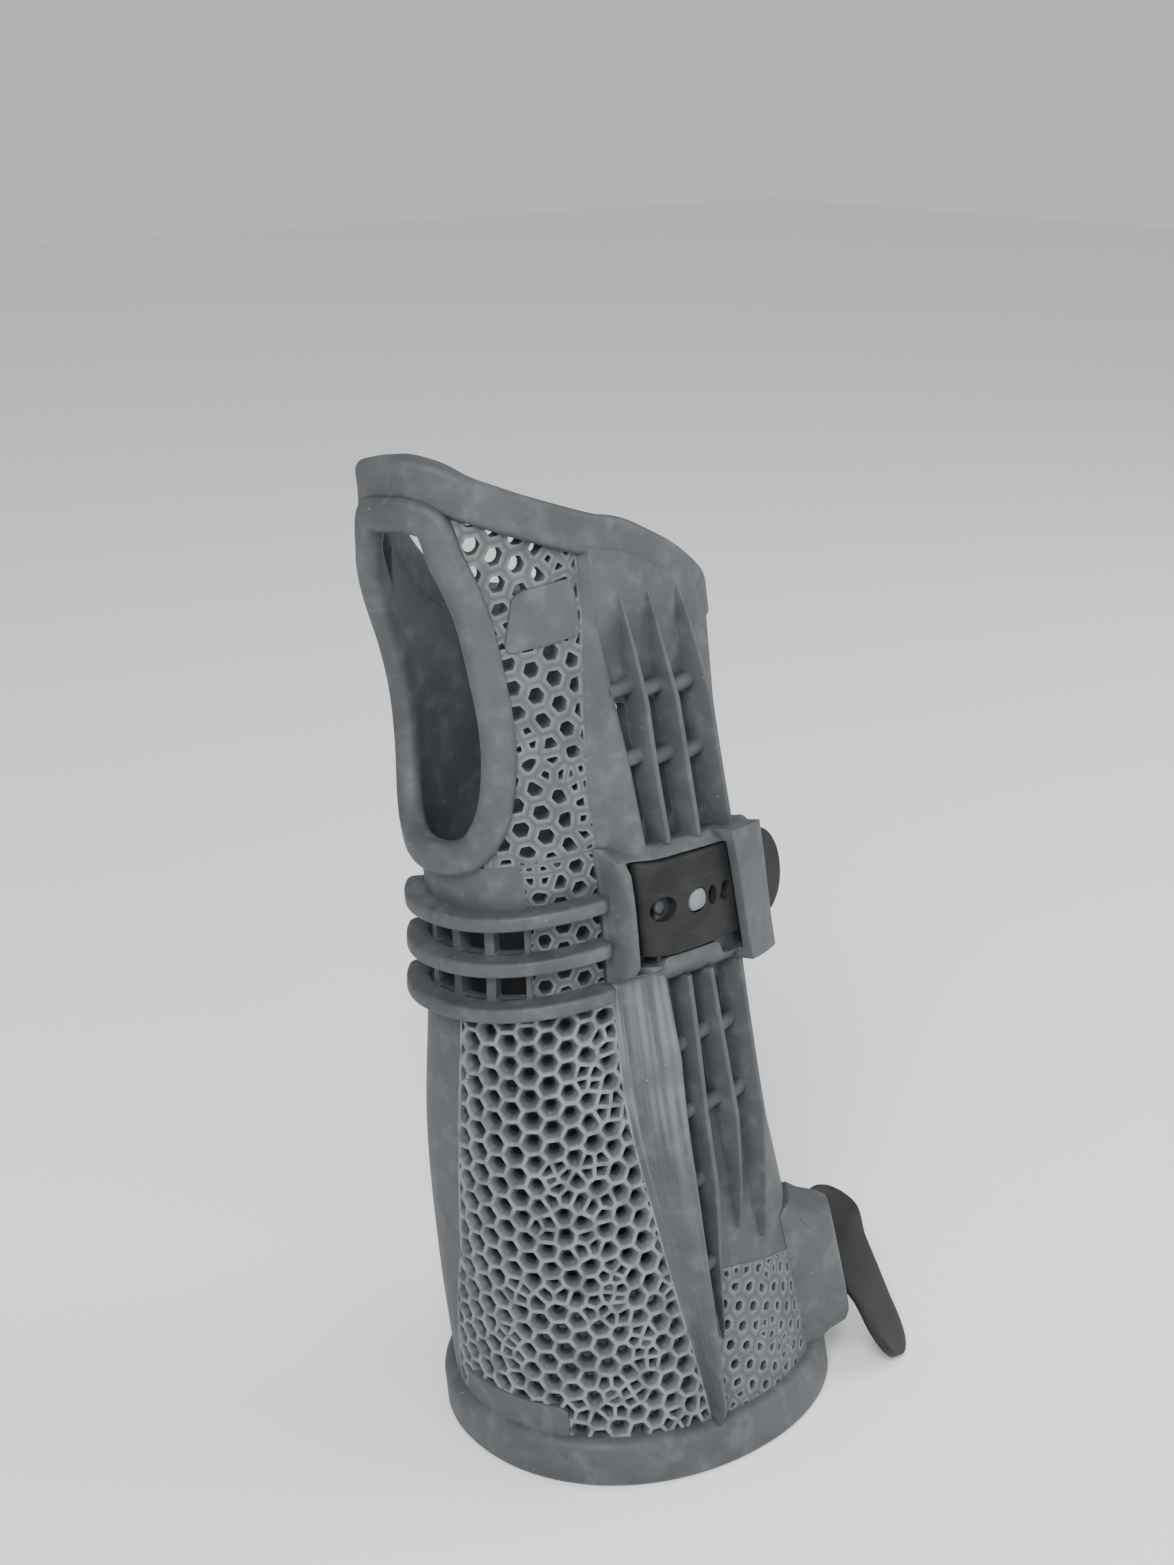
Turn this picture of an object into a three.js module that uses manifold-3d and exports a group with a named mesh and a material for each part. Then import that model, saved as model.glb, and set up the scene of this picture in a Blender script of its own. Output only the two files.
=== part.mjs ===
import * as THREE from 'three';
import { mergeVertices } from 'three/addons/utils/BufferGeometryUtils.js';
import Module from 'manifold-3d';

const wasm = await Module();
wasm.setup();

// Driving dimensions in millimetres, angles in degrees. A turn goes round the forearm: 0 is the back of
// the hand, 90 the little finger's side, 180 the palm and -90 the thumb's side. A level is a height along
// the forearm, which rises from 0 at the cuff, and out is a distance outwards from the shell's face.
const LENGTH = 240;
const CUFF_WIDTH = 95;
const CUFF_DEPTH = 80;
const WRIST_WIDTH = 76;
const WRIST_DEPTH = 55;
const HAND_WIDTH = 82;
const HAND_DEPTH = 48;
const LEAN = 8;
const WALL = 3;
const SLIT_WIDTH = 12;
const FIT = 0.3;
// How far a cut runs past the wall it goes through
const CUT_SPARE = 1;

const CUFF_RIM_HEIGHT = 12;
const HAND_RIM_WIDTH = 9.5;
const THUMB_RIM_WIDTH = 8;
const RIM_PROUD = 3;
const HAND_PLATE = 26;

const CELL_PITCH = 11.4;
const CELL_HOLE = 8.2;
const PANEL_MARGIN = 4.8;

const FIN_HEIGHT = 3.4;
const FIN_REACH = 5;
const FIN_PITCH = 10.5;
const VENT_BAR = 2.4;
const VENT_PITCH = 9.5;
const VENT_COUNT = 5;

const RIB_WIDTH = 1.7;
const RIB_FOOT = 2.2;
const RIB_LEDGE = 1;
const RIB_REACH = 6.4;
const SPINE_REACH = 6.2;
const ROD_DIAMETER = 4;

const STRAP_WIDTH = 22;
const STRAP_THICKNESS = 2.2;
const STRAP_PLAY = 4;
const WRIST_STRAP_DROP = 8.2;
const PEG_DIAMETER = 5;
const PEG_PITCH = 9.2;
const STATION_BORDER = 2.8;
const STATION_EDGE = 1;
const BED_THICKNESS = 2.2;
const KEEPER_THICKNESS = 2.2;

// Places along the forearm, as shares of LENGTH
const WRIST_STRAP_LEVEL = 0.581 * LENGTH;
const CUFF_STRAP_LEVEL = 0.11 * LENGTH;
const COLLAR_LEVEL = 0.556 * LENGTH;
const SMALL_MESH_LEVEL = 0.19 * LENGTH;

// Cross-sections of the shell's outer face. at is a share of LENGTH, x and y move the centre by shares of
// WRIST_WIDTH, cuff blends the wrist's size into the cuff's, spread and flat blend it into the hand's
// width and depth, and power squares the oval off.
const SECTIONS = [
  { at: -0.0625, x: -0.066, y: 0.053, cuff: 1, spread: 0, flat: 0, power: 2.1 },
  { at: 0, x: -0.066, y: 0.053, cuff: 1, spread: 0, flat: 0, power: 2.1 },
  { at: 0.083, x: -0.066, y: 0.053, cuff: 0.92, spread: 0, flat: 0, power: 2.1 },
  { at: 0.208, x: -0.079, y: 0.053, cuff: 0.736, spread: 0, flat: 0, power: 2.15 },
  { at: 0.354, x: -0.079, y: 0.053, cuff: 0.46, spread: 0, flat: 0, power: 2.2 },
  { at: 0.5, x: -0.053, y: 0.026, cuff: 0.137, spread: 0, flat: 0, power: 2.25 },
  { at: 0.604, x: -0.026, y: 0.013, cuff: 0, spread: 0, flat: 0, power: 2.3 },
  { at: 0.708, x: -0.026, y: 0.007, cuff: 0, spread: 0.36, flat: 0.37, power: 2.35 },
  { at: 0.833, x: -0.026, y: 0, cuff: 0, spread: 1, flat: 1, power: 2.45 },
  { at: 0.9375, x: -0.007, y: 0, cuff: 0, spread: 0.83, flat: 1.43, power: 2.5 },
  { at: 1.0625, x: 0.046, y: 0, cuff: 0, spread: -0.5, flat: 1.71, power: 2.5 },
];

// Centre line of the hand rim, from the slit over the back of the hand and the web to the palm
const HAND_RIM = [
  { turn: -235, at: 0.804 },
  { turn: -205, at: 0.821 },
  { turn: -180, at: 0.846 },
  { turn: -160, at: 0.887 },
  { turn: -140, at: 0.946 },
  { turn: -125, at: 0.984 },
  { turn: -110, at: 1.003 },
  { turn: -95, at: 1.009 },
  { turn: -80, at: 1.011 },
  { turn: -64, at: 1.004 },
  { turn: -50, at: 0.99 },
  { turn: -34, at: 0.974 },
  { turn: -16, at: 0.952 },
  { turn: -1, at: 0.929 },
  { turn: 12, at: 0.903 },
  { turn: 23, at: 0.884 },
  { turn: 34, at: 0.865 },
  { turn: 45, at: 0.848 },
  { turn: 60, at: 0.829 },
  { turn: 90, at: 0.808 },
  { turn: 108, at: 0.804 },
];

// Centre line of the rim round the thumb hole
const THUMB_RIM = [
  { turn: -76, at: 0.971 },
  { turn: -64, at: 0.959 },
  { turn: -54, at: 0.927 },
  { turn: -47, at: 0.882 },
  { turn: -45, at: 0.817 },
  { turn: -46.5, at: 0.771 },
  { turn: -51, at: 0.729 },
  { turn: -58, at: 0.693 },
  { turn: -69, at: 0.667 },
  { turn: -84, at: 0.656 },
  { turn: -98, at: 0.656 },
  { turn: -113, at: 0.666 },
  { turn: -127, at: 0.69 },
  { turn: -138, at: 0.735 },
  { turn: -143, at: 0.79 },
  { turn: -141, at: 0.84 },
  { turn: -134, at: 0.882 },
  { turn: -122, at: 0.926 },
  { turn: -106, at: 0.96 },
  { turn: -90, at: 0.973 },
];

// Edges between the panels: the turn at each level
const FOREARM_MESH_LEFT = [
  { at: 0, turn: -112 },
  { at: 0.065, turn: -109 },
  { at: 0.14, turn: -102 },
  { at: 0.25, turn: -91 },
  { at: 0.36, turn: -87 },
  { at: 0.5, turn: -85 },
];
const FOREARM_MESH_RIGHT = [
  { at: 0, turn: -10 },
  { at: 0.14, turn: -12.5 },
  { at: 0.28, turn: -15 },
  { at: 0.4, turn: -18 },
  { at: 0.5, turn: -18.5 },
];
const HAND_MESH_RIGHT = [
  { at: 0.64, turn: -18.5 },
  { at: 0.7, turn: -18 },
  { at: 0.79, turn: -12 },
  { at: 0.86, turn: -7.5 },
  { at: 0.96, turn: -6 },
];

// Ribs on the back of the hand and of the forearm: the turn at each level. The first is the spine's crest.
const HAND_RIBS = [
  [{ at: 0.62, turn: -6.4 }, { at: 0.72, turn: -5.6 }, { at: 0.82, turn: -5.2 }, { at: 0.93, turn: -5.2 }],
  [{ at: 0.62, turn: 0.4 }, { at: 0.72, turn: 0.4 }, { at: 0.82, turn: 1.1 }, { at: 0.885, turn: 1.2 }],
  [{ at: 0.61, turn: 11.1 }, { at: 0.7, turn: 10.7 }, { at: 0.8, turn: 10.1 }, { at: 0.878, turn: 10 }],
  [{ at: 0.59, turn: 29 }, { at: 0.69, turn: 26.5 }, { at: 0.77, turn: 25.3 }, { at: 0.865, turn: 24.4 }],
];
const FOREARM_RIBS = [
  [{ at: 0.02, turn: -11 }, { at: 0.1, turn: -9.3 }, { at: 0.2, turn: -6.6 }, { at: 0.31, turn: -4.2 },
    { at: 0.43, turn: -3 }, { at: 0.53, turn: -5.4 }],
  [{ at: 0.12, turn: -2.2 }, { at: 0.2, turn: -0.8 }, { at: 0.3, turn: 1.6 }, { at: 0.42, turn: 2.8 },
    { at: 0.51, turn: 2.4 }],
  [{ at: 0.22, turn: 11.4 }, { at: 0.31, turn: 13.2 }, { at: 0.4, turn: 12.8 }, { at: 0.5, turn: 10.9 }],
  [{ at: 0.19, turn: 22 }, { at: 0.25, turn: 23.2 }, { at: 0.32, turn: 26 }, { at: 0.4, turn: 26.8 },
    { at: 0.49, turn: 26.4 }],
];
// Slots through the floor between two ribs, from one level to another
const HAND_SLOTS = [
  { between: 0, from: 0.655, to: 0.775 },
  { between: 1, from: 0.65, to: 0.77 },
  { between: 2, from: 0.64, to: 0.762 },
];
const FOREARM_SLOTS = [
  { between: 0, from: 0.2, to: 0.49 },
  { between: 1, from: 0.35, to: 0.482 },
  { between: 2, from: 0.345, to: 0.475 },
];
// Rods across the channels between two ribs
const HAND_RODS = [
  { between: 0, at: 0.789 },
  { between: 1, at: 0.78 },
  { between: 2, at: 0.772 },
  { between: 0, at: 0.723 },
  { between: 1, at: 0.715 },
  { between: 2, at: 0.707 },
];
const FOREARM_RODS = [
  { between: 0, at: 0.433 },
  { between: 1, at: 0.435 },
  { between: 2, at: 0.428 },
  { between: 0, at: 0.365 },
  { between: 1, at: 0.362 },
  { between: 2, at: 0.355 },
  { between: 0, at: 0.294 },
  { between: 0, at: 0.208 },
];

const { lerp, clamp, degToRad } = THREE.MathUtils;

// Reads a table's column at a key by straight steps between its rows
function read(table, key, at, column) {
  const last = table.length - 1;
  let row = 0;
  while (row < last - 1 && table[row + 1][key] < at) row += 1;
  const from = table[row];
  const to = table[row + 1];
  return lerp(from[column], to[column], clamp((at - from[key]) / (to[key] - from[key]), 0, 1));
}

// Reads a column of the sections by a smooth curve through the rows
function readSmooth(table, key, at, column) {
  const last = table.length - 1;
  let row = 0;
  while (row < last - 1 && table[row + 1][key] < at) row += 1;
  const value = (i) => table[clamp(i, 0, last)][column];
  const place = (i) => table[clamp(i, 0, last)][key];
  const slope = (i) => (value(i + 1) - value(i - 1)) / (place(i + 1) - place(i - 1));
  const span = place(row + 1) - place(row);
  const t = (at - place(row)) / span;
  const t2 = t * t;
  const t3 = t2 * t;
  return (2 * t3 - 3 * t2 + 1) * value(row) + (t3 - 2 * t2 + t) * span * slope(row)
    + (3 * t2 - 2 * t3) * value(row + 1) + (t3 - t2) * span * slope(row + 1);
}

const sectionMemory = new Map();

function sectionAt(level) {
  if (!sectionMemory.has(level)) {
    const column = (name) => readSmooth(SECTIONS, 'at', level / LENGTH, name);
    const blend = (wrist, cuff, hand, share) => wrist + (cuff - wrist) * column('cuff')
      + (hand - wrist) * share;
    sectionMemory.set(level, {
      x: column('x') * WRIST_WIDTH,
      y: column('y') * WRIST_WIDTH,
      halfWidth: blend(WRIST_WIDTH, CUFF_WIDTH, HAND_WIDTH, column('spread')) / 2,
      halfDepth: blend(WRIST_DEPTH, CUFF_DEPTH, HAND_DEPTH, column('flat')) / 2,
      power: column('power'),
    });
  }
  return sectionMemory.get(level);
}

// The point on the shell at a turn and a level, moved outwards
function skin(turn, level, out = 0) {
  const section = sectionAt(level);
  const curve = (angle) => {
    const sin = Math.sin(angle);
    const cos = Math.cos(angle);
    const bend = 2 / section.power;
    return [
      section.x + section.halfWidth * Math.sign(sin) * Math.abs(sin) ** bend,
      section.y - section.halfDepth * Math.sign(cos) * Math.abs(cos) ** bend,
    ];
  };
  const angle = degToRad(turn);
  const step = 0.002;
  const [x, y] = curve(angle);
  const before = curve(angle - step);
  const after = curve(angle + step);
  const along = [after[0] - before[0], after[1] - before[1]];
  const size = Math.hypot(...along);
  return new THREE.Vector3(x + (along[1] / size) * out, y - (along[0] / size) * out, level);
}

// How many degrees of turn one millimetre round the shell takes
function degreesPerMillimetre(turn, level) {
  return 1 / skin(turn - 0.5, level).distanceTo(skin(turn + 0.5, level));
}

// The turn at a distance round the shell from another turn
function turnAtDistance(turn, level, distance) {
  let place = turn;
  const steps = Math.max(1, Math.ceil(Math.abs(distance) / 2));
  for (let i = 0; i < steps; i += 1) place += (distance / steps) * degreesPerMillimetre(place, level);
  return place;
}

// The floor cuts the leaning cuff level
const leanTowards = new THREE.Vector3(-0.766, 0.643, 0);

function floorLevel(turn, out) {
  let level = 0;
  for (let i = 0; i < 4; i += 1) {
    const place = skin(turn, level, out);
    level = Math.tan(degToRad(LEAN)) * (place.x * leanTowards.x + place.y * leanTowards.y);
  }
  return level;
}

// Turns a list of points and faces into a solid, with its faces outwards
function solidFrom(points, faces) {
  const geometry = new THREE.BufferGeometry();
  const numbers = new Float32Array(points.flatMap((p) => [...p]));
  geometry.setAttribute('position', new THREE.BufferAttribute(numbers, 3));
  const signed = faces.reduce((sum, [a, b, c]) => (
    sum + points[a].dot(new THREE.Vector3().crossVectors(points[b], points[c]))), 0);
  geometry.setIndex((signed > 0 ? faces : faces.map(([a, b, c]) => [a, c, b])).flat());
  return toSolid(geometry);
}

function toSolid(geometry) {
  const bare = geometry.clone();
  bare.deleteAttribute('normal');
  bare.deleteAttribute('uv');
  const merged = mergeVertices(bare, 1e-4);
  return new wasm.Manifold(new wasm.Mesh({
    numProp: 3,
    vertProperties: new Float32Array(merged.attributes.position.array),
    triVerts: new Uint32Array(merged.index.array),
  }));
}

function toGeometry(solid) {
  const mesh = solid.getMesh();
  const geometry = new THREE.BufferGeometry();
  geometry.setAttribute('position', new THREE.BufferAttribute(new Float32Array(mesh.vertProperties), 3));
  geometry.setIndex([...mesh.triVerts]);
  return geometry;
}

// Joins rings of points, all with as many points, into one solid, closed on itself or capped
function loft(rings, closed = false) {
  const count = rings[0].length;
  const faces = [];
  const last = closed ? rings.length : rings.length - 1;
  for (let j = 0; j < last; j += 1) {
    const here = j * count;
    const next = ((j + 1) % rings.length) * count;
    for (let i = 0; i < count; i += 1) {
      const k = (i + 1) % count;
      faces.push([here + i, here + k, next + k], [here + i, next + k, next + i]);
    }
  }
  if (!closed) {
    const end = (rings.length - 1) * count;
    for (let i = 1; i < count - 1; i += 1) {
      faces.push([0, i + 1, i], [end, end + i, end + i + 1]);
    }
  }
  return solidFrom(rings.flat(), faces);
}

// A piece of the shell between two edges given as turns at a level and two given as levels at a turn
function sheet({ left, right, low, high, inner = -WALL, outer = () => 0, across, along, seam = FIT / 2 }) {
  const place = (u, v) => {
    let level = lerp(low(0), high(0), v);
    let turn = 0;
    for (let i = 0; i < 5; i += 1) {
      const inset = seam * degreesPerMillimetre(turn, level);
      turn = lerp(left(level) + inset, right(level) - inset, u);
      level = lerp(low(turn) + seam, high(turn) - seam, v);
    }
    return [turn, level];
  };
  const grid = [];
  for (let j = 0; j <= along; j += 1) {
    for (let i = 0; i <= across; i += 1) grid.push(place(i / across, j / along));
  }
  const points = [
    ...grid.map(([turn, level]) => skin(turn, level, inner)),
    ...grid.map(([turn, level]) => skin(turn, level, outer(turn, level))),
  ];
  const at = (i, j, face) => face * grid.length + j * (across + 1) + i;
  const faces = [];
  const quad = (a, b, c, d) => faces.push([a, b, c], [a, c, d]);
  for (let j = 0; j < along; j += 1) {
    for (let i = 0; i < across; i += 1) {
      quad(at(i, j, 1), at(i + 1, j, 1), at(i + 1, j + 1, 1), at(i, j + 1, 1));
      quad(at(i, j, 0), at(i, j + 1, 0), at(i + 1, j + 1, 0), at(i + 1, j, 0));
    }
    quad(at(0, j, 0), at(0, j, 1), at(0, j + 1, 1), at(0, j + 1, 0));
    quad(at(across, j, 0), at(across, j + 1, 0), at(across, j + 1, 1), at(across, j, 1));
  }
  for (let i = 0; i < across; i += 1) {
    quad(at(i, 0, 0), at(i + 1, 0, 0), at(i + 1, 0, 1), at(i, 0, 1));
    quad(at(i, along, 0), at(i, along, 1), at(i + 1, along, 1), at(i + 1, along, 0));
  }
  return solidFrom(points, faces);
}

// A cutter through the shell along a loop of turns and levels
function plug(loop, inner, outer) {
  const rings = [inner, outer].map((out) => loop.map(([turn, level]) => skin(turn, level, out)));
  const middles = rings.map((ring) => ring.reduce((sum, p) => sum.add(p), new THREE.Vector3())
    .divideScalar(ring.length));
  const count = loop.length;
  const faces = [];
  for (let i = 0; i < count; i += 1) {
    const k = (i + 1) % count;
    faces.push([i, k, count + k], [i, count + k, count + i]);
    faces.push([2 * count, k, i], [2 * count + 1, count + i, count + k]);
  }
  return solidFrom([...rings.flat(), ...middles], faces);
}

// A loop with straight sides between two turns and two levels, with a point every few millimetres
function windowLoop(left, right, low, high) {
  const steps = Math.max(1, Math.round((high - low) / (3 * ROD_DIAMETER)));
  const rise = Array.from({ length: steps + 1 }, (_, i) => lerp(low, high, i / steps));
  return [
    ...rise.map((level) => [right(level), level]),
    ...[...rise].reverse().map((level) => [left(level), level]),
  ];
}

function cutAll(solid, cutters) {
  return cutters.reduce((rest, cutter) => rest.subtract(cutter), solid);
}

// Six-sided holes in columns along the forearm, wherever a whole cell fits between the edges
function cells({ left, right, low, high, keepOff = () => false }) {
  const cutters = [];
  const columnPitch = CELL_PITCH * Math.cos(Math.PI / 6);
  const middle = (left(low(0)) + right(low(0))) / 2;
  const reach = Math.ceil(CUFF_WIDTH / columnPitch);
  for (let column = -reach; column <= reach; column += 1) {
    const rise = (Math.abs(column) % 2) * CELL_PITCH / 2;
    for (let level = PANEL_MARGIN + rise; level < LENGTH; level += CELL_PITCH) {
      const turn = turnAtDistance(middle, level, column * columnPitch);
      const margin = PANEL_MARGIN * degreesPerMillimetre(turn, level);
      const inside = turn > left(level) + margin && turn < right(level) - margin
        && level > low(turn) + PANEL_MARGIN && level < high(turn) - PANEL_MARGIN;
      if (inside && !keepOff(turn, level)) {
        const degrees = degreesPerMillimetre(turn, level);
        const radius = CELL_HOLE / Math.sqrt(3);
        const loop = Array.from({ length: 6 }, (_, i) => {
          const angle = (i * Math.PI) / 3;
          return [turn + radius * Math.cos(angle) * degrees, level + radius * Math.sin(angle)];
        });
        cutters.push(plug(loop, -WALL - CUT_SPARE, RIB_REACH));
      }
    }
  }
  return cutters;
}

// Edges shared by the panels
const SLIT_TURN = 108;
const slitRight = (level) => turnAtDistance(SLIT_TURN, level, SLIT_WIDTH) - 360;
const slitLeft = () => SLIT_TURN;
const STATION_LEFT = -17.5;
const STATION_RIGHT = 48;
const CUFF_STATION_LEFT = 43;
const CUFF_STATION_RIGHT = 61.5;
// The wrist strap drops along the forearm from the station's left edge to its right one
const WRIST_BELT = {
  level: WRIST_STRAP_LEVEL,
  slope: WRIST_STRAP_DROP / (STATION_RIGHT - STATION_LEFT),
};
const CUFF_BELT = { level: CUFF_STRAP_LEVEL, slope: 0 };
const strapLevel = (belt, turn) => belt.level - belt.slope * turn;
const windowLow = (belt, turn) => strapLevel(belt, turn) - STRAP_WIDTH / 2 - STRAP_PLAY;
const windowHigh = (belt, turn) => strapLevel(belt, turn) + STRAP_WIDTH / 2 + FIT;
const stationLow = (turn) => windowLow(WRIST_BELT, turn) - STATION_BORDER;
const stationHigh = (turn) => windowHigh(WRIST_BELT, turn) + STATION_BORDER;
const wristLow = stationLow(STATION_LEFT);
const wristHigh = stationHigh(STATION_LEFT);
const PALM_TURN = -135;
const THUMB_WEB_TURN = -55;
const SMALL_MESH_RIGHT = 36;
// Where the strap comes up: the slot's left edge and the bed's
const SLOT_LEFT = -14.5;
const BED_LEFT = -5.5;
const CUFF_SLOT_LEFT = 46.3;
const CUFF_BED_LEFT = 51.6;
// The wrist keeper's edges slant: the turn at its foot and at its top
const KEEPER_LEFT = { foot: 24, top: 19 };
const KEEPER_RIGHT = { foot: 42, top: 37 };
const PEG_TURN = 5;
const VENT_TURN = -50;
// A raised piece keeps this many degrees from an edge
const EDGE_TURN = 1;

const handRimLevel = (turn) => read(HAND_RIM, 'turn', turn, 'at') * LENGTH;
const cuffEdge = (turn) => floorLevel(turn, 0) + CUFF_RIM_HEIGHT;
const edge = (table) => (level) => read(table, 'at', level / LENGTH, 'turn');
const ribTurn = (ribs, i, level) => read(ribs[i], 'at', level / LENGTH, 'turn');

// A rim's section: a band with rounded corners, across it the share of the width and outwards the share
// of the thickness
const RIM_SECTION = [
  { across: -0.5, up: 0.2 },
  { across: -0.5, up: 0.8 },
  { across: -0.32, up: 1 },
  { across: 0.32, up: 1 },
  { across: 0.5, up: 0.8 },
  { across: 0.5, up: 0.2 },
  { across: 0.32, up: 0 },
  { across: -0.32, up: 0 },
];

function rim(line, width, thickness, closed) {
  const points = line.map(([turn, level]) => skin(turn, level));
  const count = points.length;
  const rings = points.map((point, i) => {
    const before = closed ? points[(i + count - 1) % count] : points[Math.max(i - 1, 0)];
    const after = closed ? points[(i + 1) % count] : points[Math.min(i + 1, count - 1)];
    const [turn, level] = line[i];
    const along = after.clone().sub(before).normalize();
    const up = skin(turn, level, 1).sub(point).normalize();
    const across = new THREE.Vector3().crossVectors(up, along).normalize();
    return RIM_SECTION.map((corner) => point.clone()
      .addScaledVector(across, corner.across * width)
      .addScaledVector(up, lerp(-WALL - (thickness - WALL - RIM_PROUD) / 2,
        RIM_PROUD + (thickness - WALL - RIM_PROUD) / 2, corner.up)));
  });
  return loft(rings, closed);
}

const RIM_THICKNESS = WALL + RIM_PROUD;

function handRimLine(steps = 30) {
  return Array.from({ length: steps + 1 }, (_, i) => {
    const from = slitRight(HAND_RIM[0].at * LENGTH);
    const turn = lerp(from, SLIT_TURN, i / steps);
    return [turn, handRimLevel(turn)];
  });
}

// The thumb rim's line as a smooth closed curve through its points
function thumbRimLine(steps = 26) {
  const curve = new THREE.CatmullRomCurve3(
    THUMB_RIM.map(({ turn, at }) => new THREE.Vector3(turn, at * LENGTH, 0)), true);
  return Array.from({ length: steps }, (_, i) => {
    const point = curve.getPoint(i / steps);
    const crown = handRimLevel(point.x) - (HAND_RIM_WIDTH + THUMB_RIM_WIDTH) / 2 - FIT;
    return [point.x, Math.min(point.y, crown)];
  });
}

function thumbPlug() {
  return plug(thumbRimLine(), -HAND_DEPTH / 4, HAND_DEPTH / 2);
}

function cuffRim(steps = 27) {
  const rings = Array.from({ length: steps + 1 }, (_, i) => {
    const turn = lerp(slitRight(0), SLIT_TURN, i / steps);
    const top = cuffEdge(turn) - FIT / 2;
    const round = RIM_PROUD;
    const foot = (out) => skin(turn, floorLevel(turn, out), out);
    return [
      foot(-WALL),
      foot(RIM_PROUD * 0.4),
      skin(turn, floorLevel(turn, RIM_PROUD) + round / 2, RIM_PROUD),
      skin(turn, top - round, RIM_PROUD),
      skin(turn, top, RIM_PROUD * 0.3),
      skin(turn, top, -WALL),
    ];
  });
  return loft(rings);
}

// The back of the hand swells from the channels' floor to the rim
function plateRise(turn, level) {
  const start = handRimLevel(turn) - HAND_RIM_WIDTH / 2 - HAND_PLATE;
  return RIM_PROUD * THREE.MathUtils.smoothstep(level, start, start + HAND_PLATE);
}

// The striated strip beside each mesh panel rises to the spine's crest
function spineSheet({ ribs, left, low, high, along }) {
  const crest = (level) => ribTurn(ribs, 0, level);
  const tip = (level) => clamp((level - low(0)) / (2 * FIN_PITCH), 0.2, 1)
    * clamp((high(0) - level) / FIN_PITCH, 0.2, 1);
  return sheet({
    left,
    right: (level) => crest(level) + (RIB_WIDTH / 2) * degreesPerMillimetre(crest(level), level),
    low,
    high,
    outer: (turn, level) => {
      const share = clamp((turn - left(level)) / (crest(level) - left(level)), 0, 1);
      const rise = share * share * (3 - 2 * share);
      return Math.max(SPINE_REACH * tip(level) * rise, plateRise(turn, level) * share);
    },
    across: 5,
    along,
  });
}

// One rib: a blade along the shell with a pointed end where it fades out. It fades over RIB_FADE of its
// length to RIB_TIP of its width.
const RIB_FADE = 0.45;
const RIB_TIP = 0.3;

function rib(ribs, index, from, to, fadeLow, fadeHigh) {
  const steps = 7;
  const rings = Array.from({ length: steps + 1 }, (_, i) => {
    const level = lerp(from, to, i / steps);
    const turn = ribTurn(ribs, index, level);
    const end = Math.min(fadeLow ? i / steps : 1, fadeHigh ? 1 - i / steps : 1);
    const fade = Math.sqrt(Math.min(end / RIB_FADE, 1));
    const reach = lerp(2 * FIT, RIB_REACH, fade);
    const degrees = lerp(RIB_TIP, 1, fade) * degreesPerMillimetre(turn, level);
    const half = (RIB_WIDTH / 2) * degrees;
    const foot = (RIB_FOOT / 2) * degrees;
    return [
      skin(turn - foot, level, FIT),
      skin(turn + foot, level, FIT),
      skin(turn + half, level, reach),
      skin(turn - half, level, reach),
    ];
  });
  return loft(rings);
}

// A round rod across a channel, from one rib into the next
function rod(ribs, { between, at }) {
  const level = at * LENGTH;
  const out = FIT + ROD_DIAMETER / 2 + FIT;
  const start = ribTurn(ribs, between, level);
  const gap = (RIB_WIDTH / 2 + FIT) * degreesPerMillimetre(start, level);
  const from = skin(between === 0 ? start + gap : start, level, out);
  const to = skin(ribTurn(ribs, between + 1, level), level, out);
  const along = to.clone().sub(from);
  const shape = new THREE.CylinderGeometry(ROD_DIAMETER / 2, ROD_DIAMETER / 2, along.length(), 6);
  shape.applyQuaternion(new THREE.Quaternion().setFromUnitVectors(
    new THREE.Vector3(0, 1, 0), along.clone().normalize()));
  shape.translate(...from.clone().lerp(to, 0.5));
  return toSolid(shape);
}

function lattice(ribs, rods, levels) {
  const parts = levels.map(({ index, from, to, fadeLow, fadeHigh }) => (
    rib(ribs, index, from, to, fadeLow, fadeHigh)));
  rods.forEach((row) => parts.push(rod(ribs, row)));
  return parts.reduce((sum, part) => sum.add(part));
}

// The slot between two ribs leaves a ledge under each of them
function slots(ribs, rows) {
  return rows.map(({ between, from, to }) => {
    const side = (index, sign) => (level) => {
      const turn = ribTurn(ribs, index, level);
      return turn + sign * (RIB_WIDTH / 2 + RIB_LEDGE) * degreesPerMillimetre(turn, level);
    };
    const loop = windowLoop(side(between, 1), side(between + 1, -1), from * LENGTH, to * LENGTH);
    return plug(loop, -WALL - CUT_SPARE, CUT_SPARE);
  });
}

// Vent windows behind the collar's fins, with the bars left standing between them
function vents() {
  const cutters = [];
  for (const side of [-1, 1]) {
    const low = COLLAR_LEVEL + (side < 0 ? -FIN_PITCH : 0) + FIN_HEIGHT / 2;
    const high = low + FIN_PITCH - FIN_HEIGHT;
    for (let i = 0; i < VENT_COUNT; i += 1) {
      const middle = (low + high) / 2;
      const from = turnAtDistance(VENT_TURN, middle, -(i + 1) * VENT_PITCH + VENT_BAR / 2);
      const to = turnAtDistance(VENT_TURN, middle, -i * VENT_PITCH - VENT_BAR / 2);
      cutters.push(plug(windowLoop(() => from, () => to, low, high), -WALL - CUT_SPARE, CUT_SPARE));
    }
  }
  return cutters;
}

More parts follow.
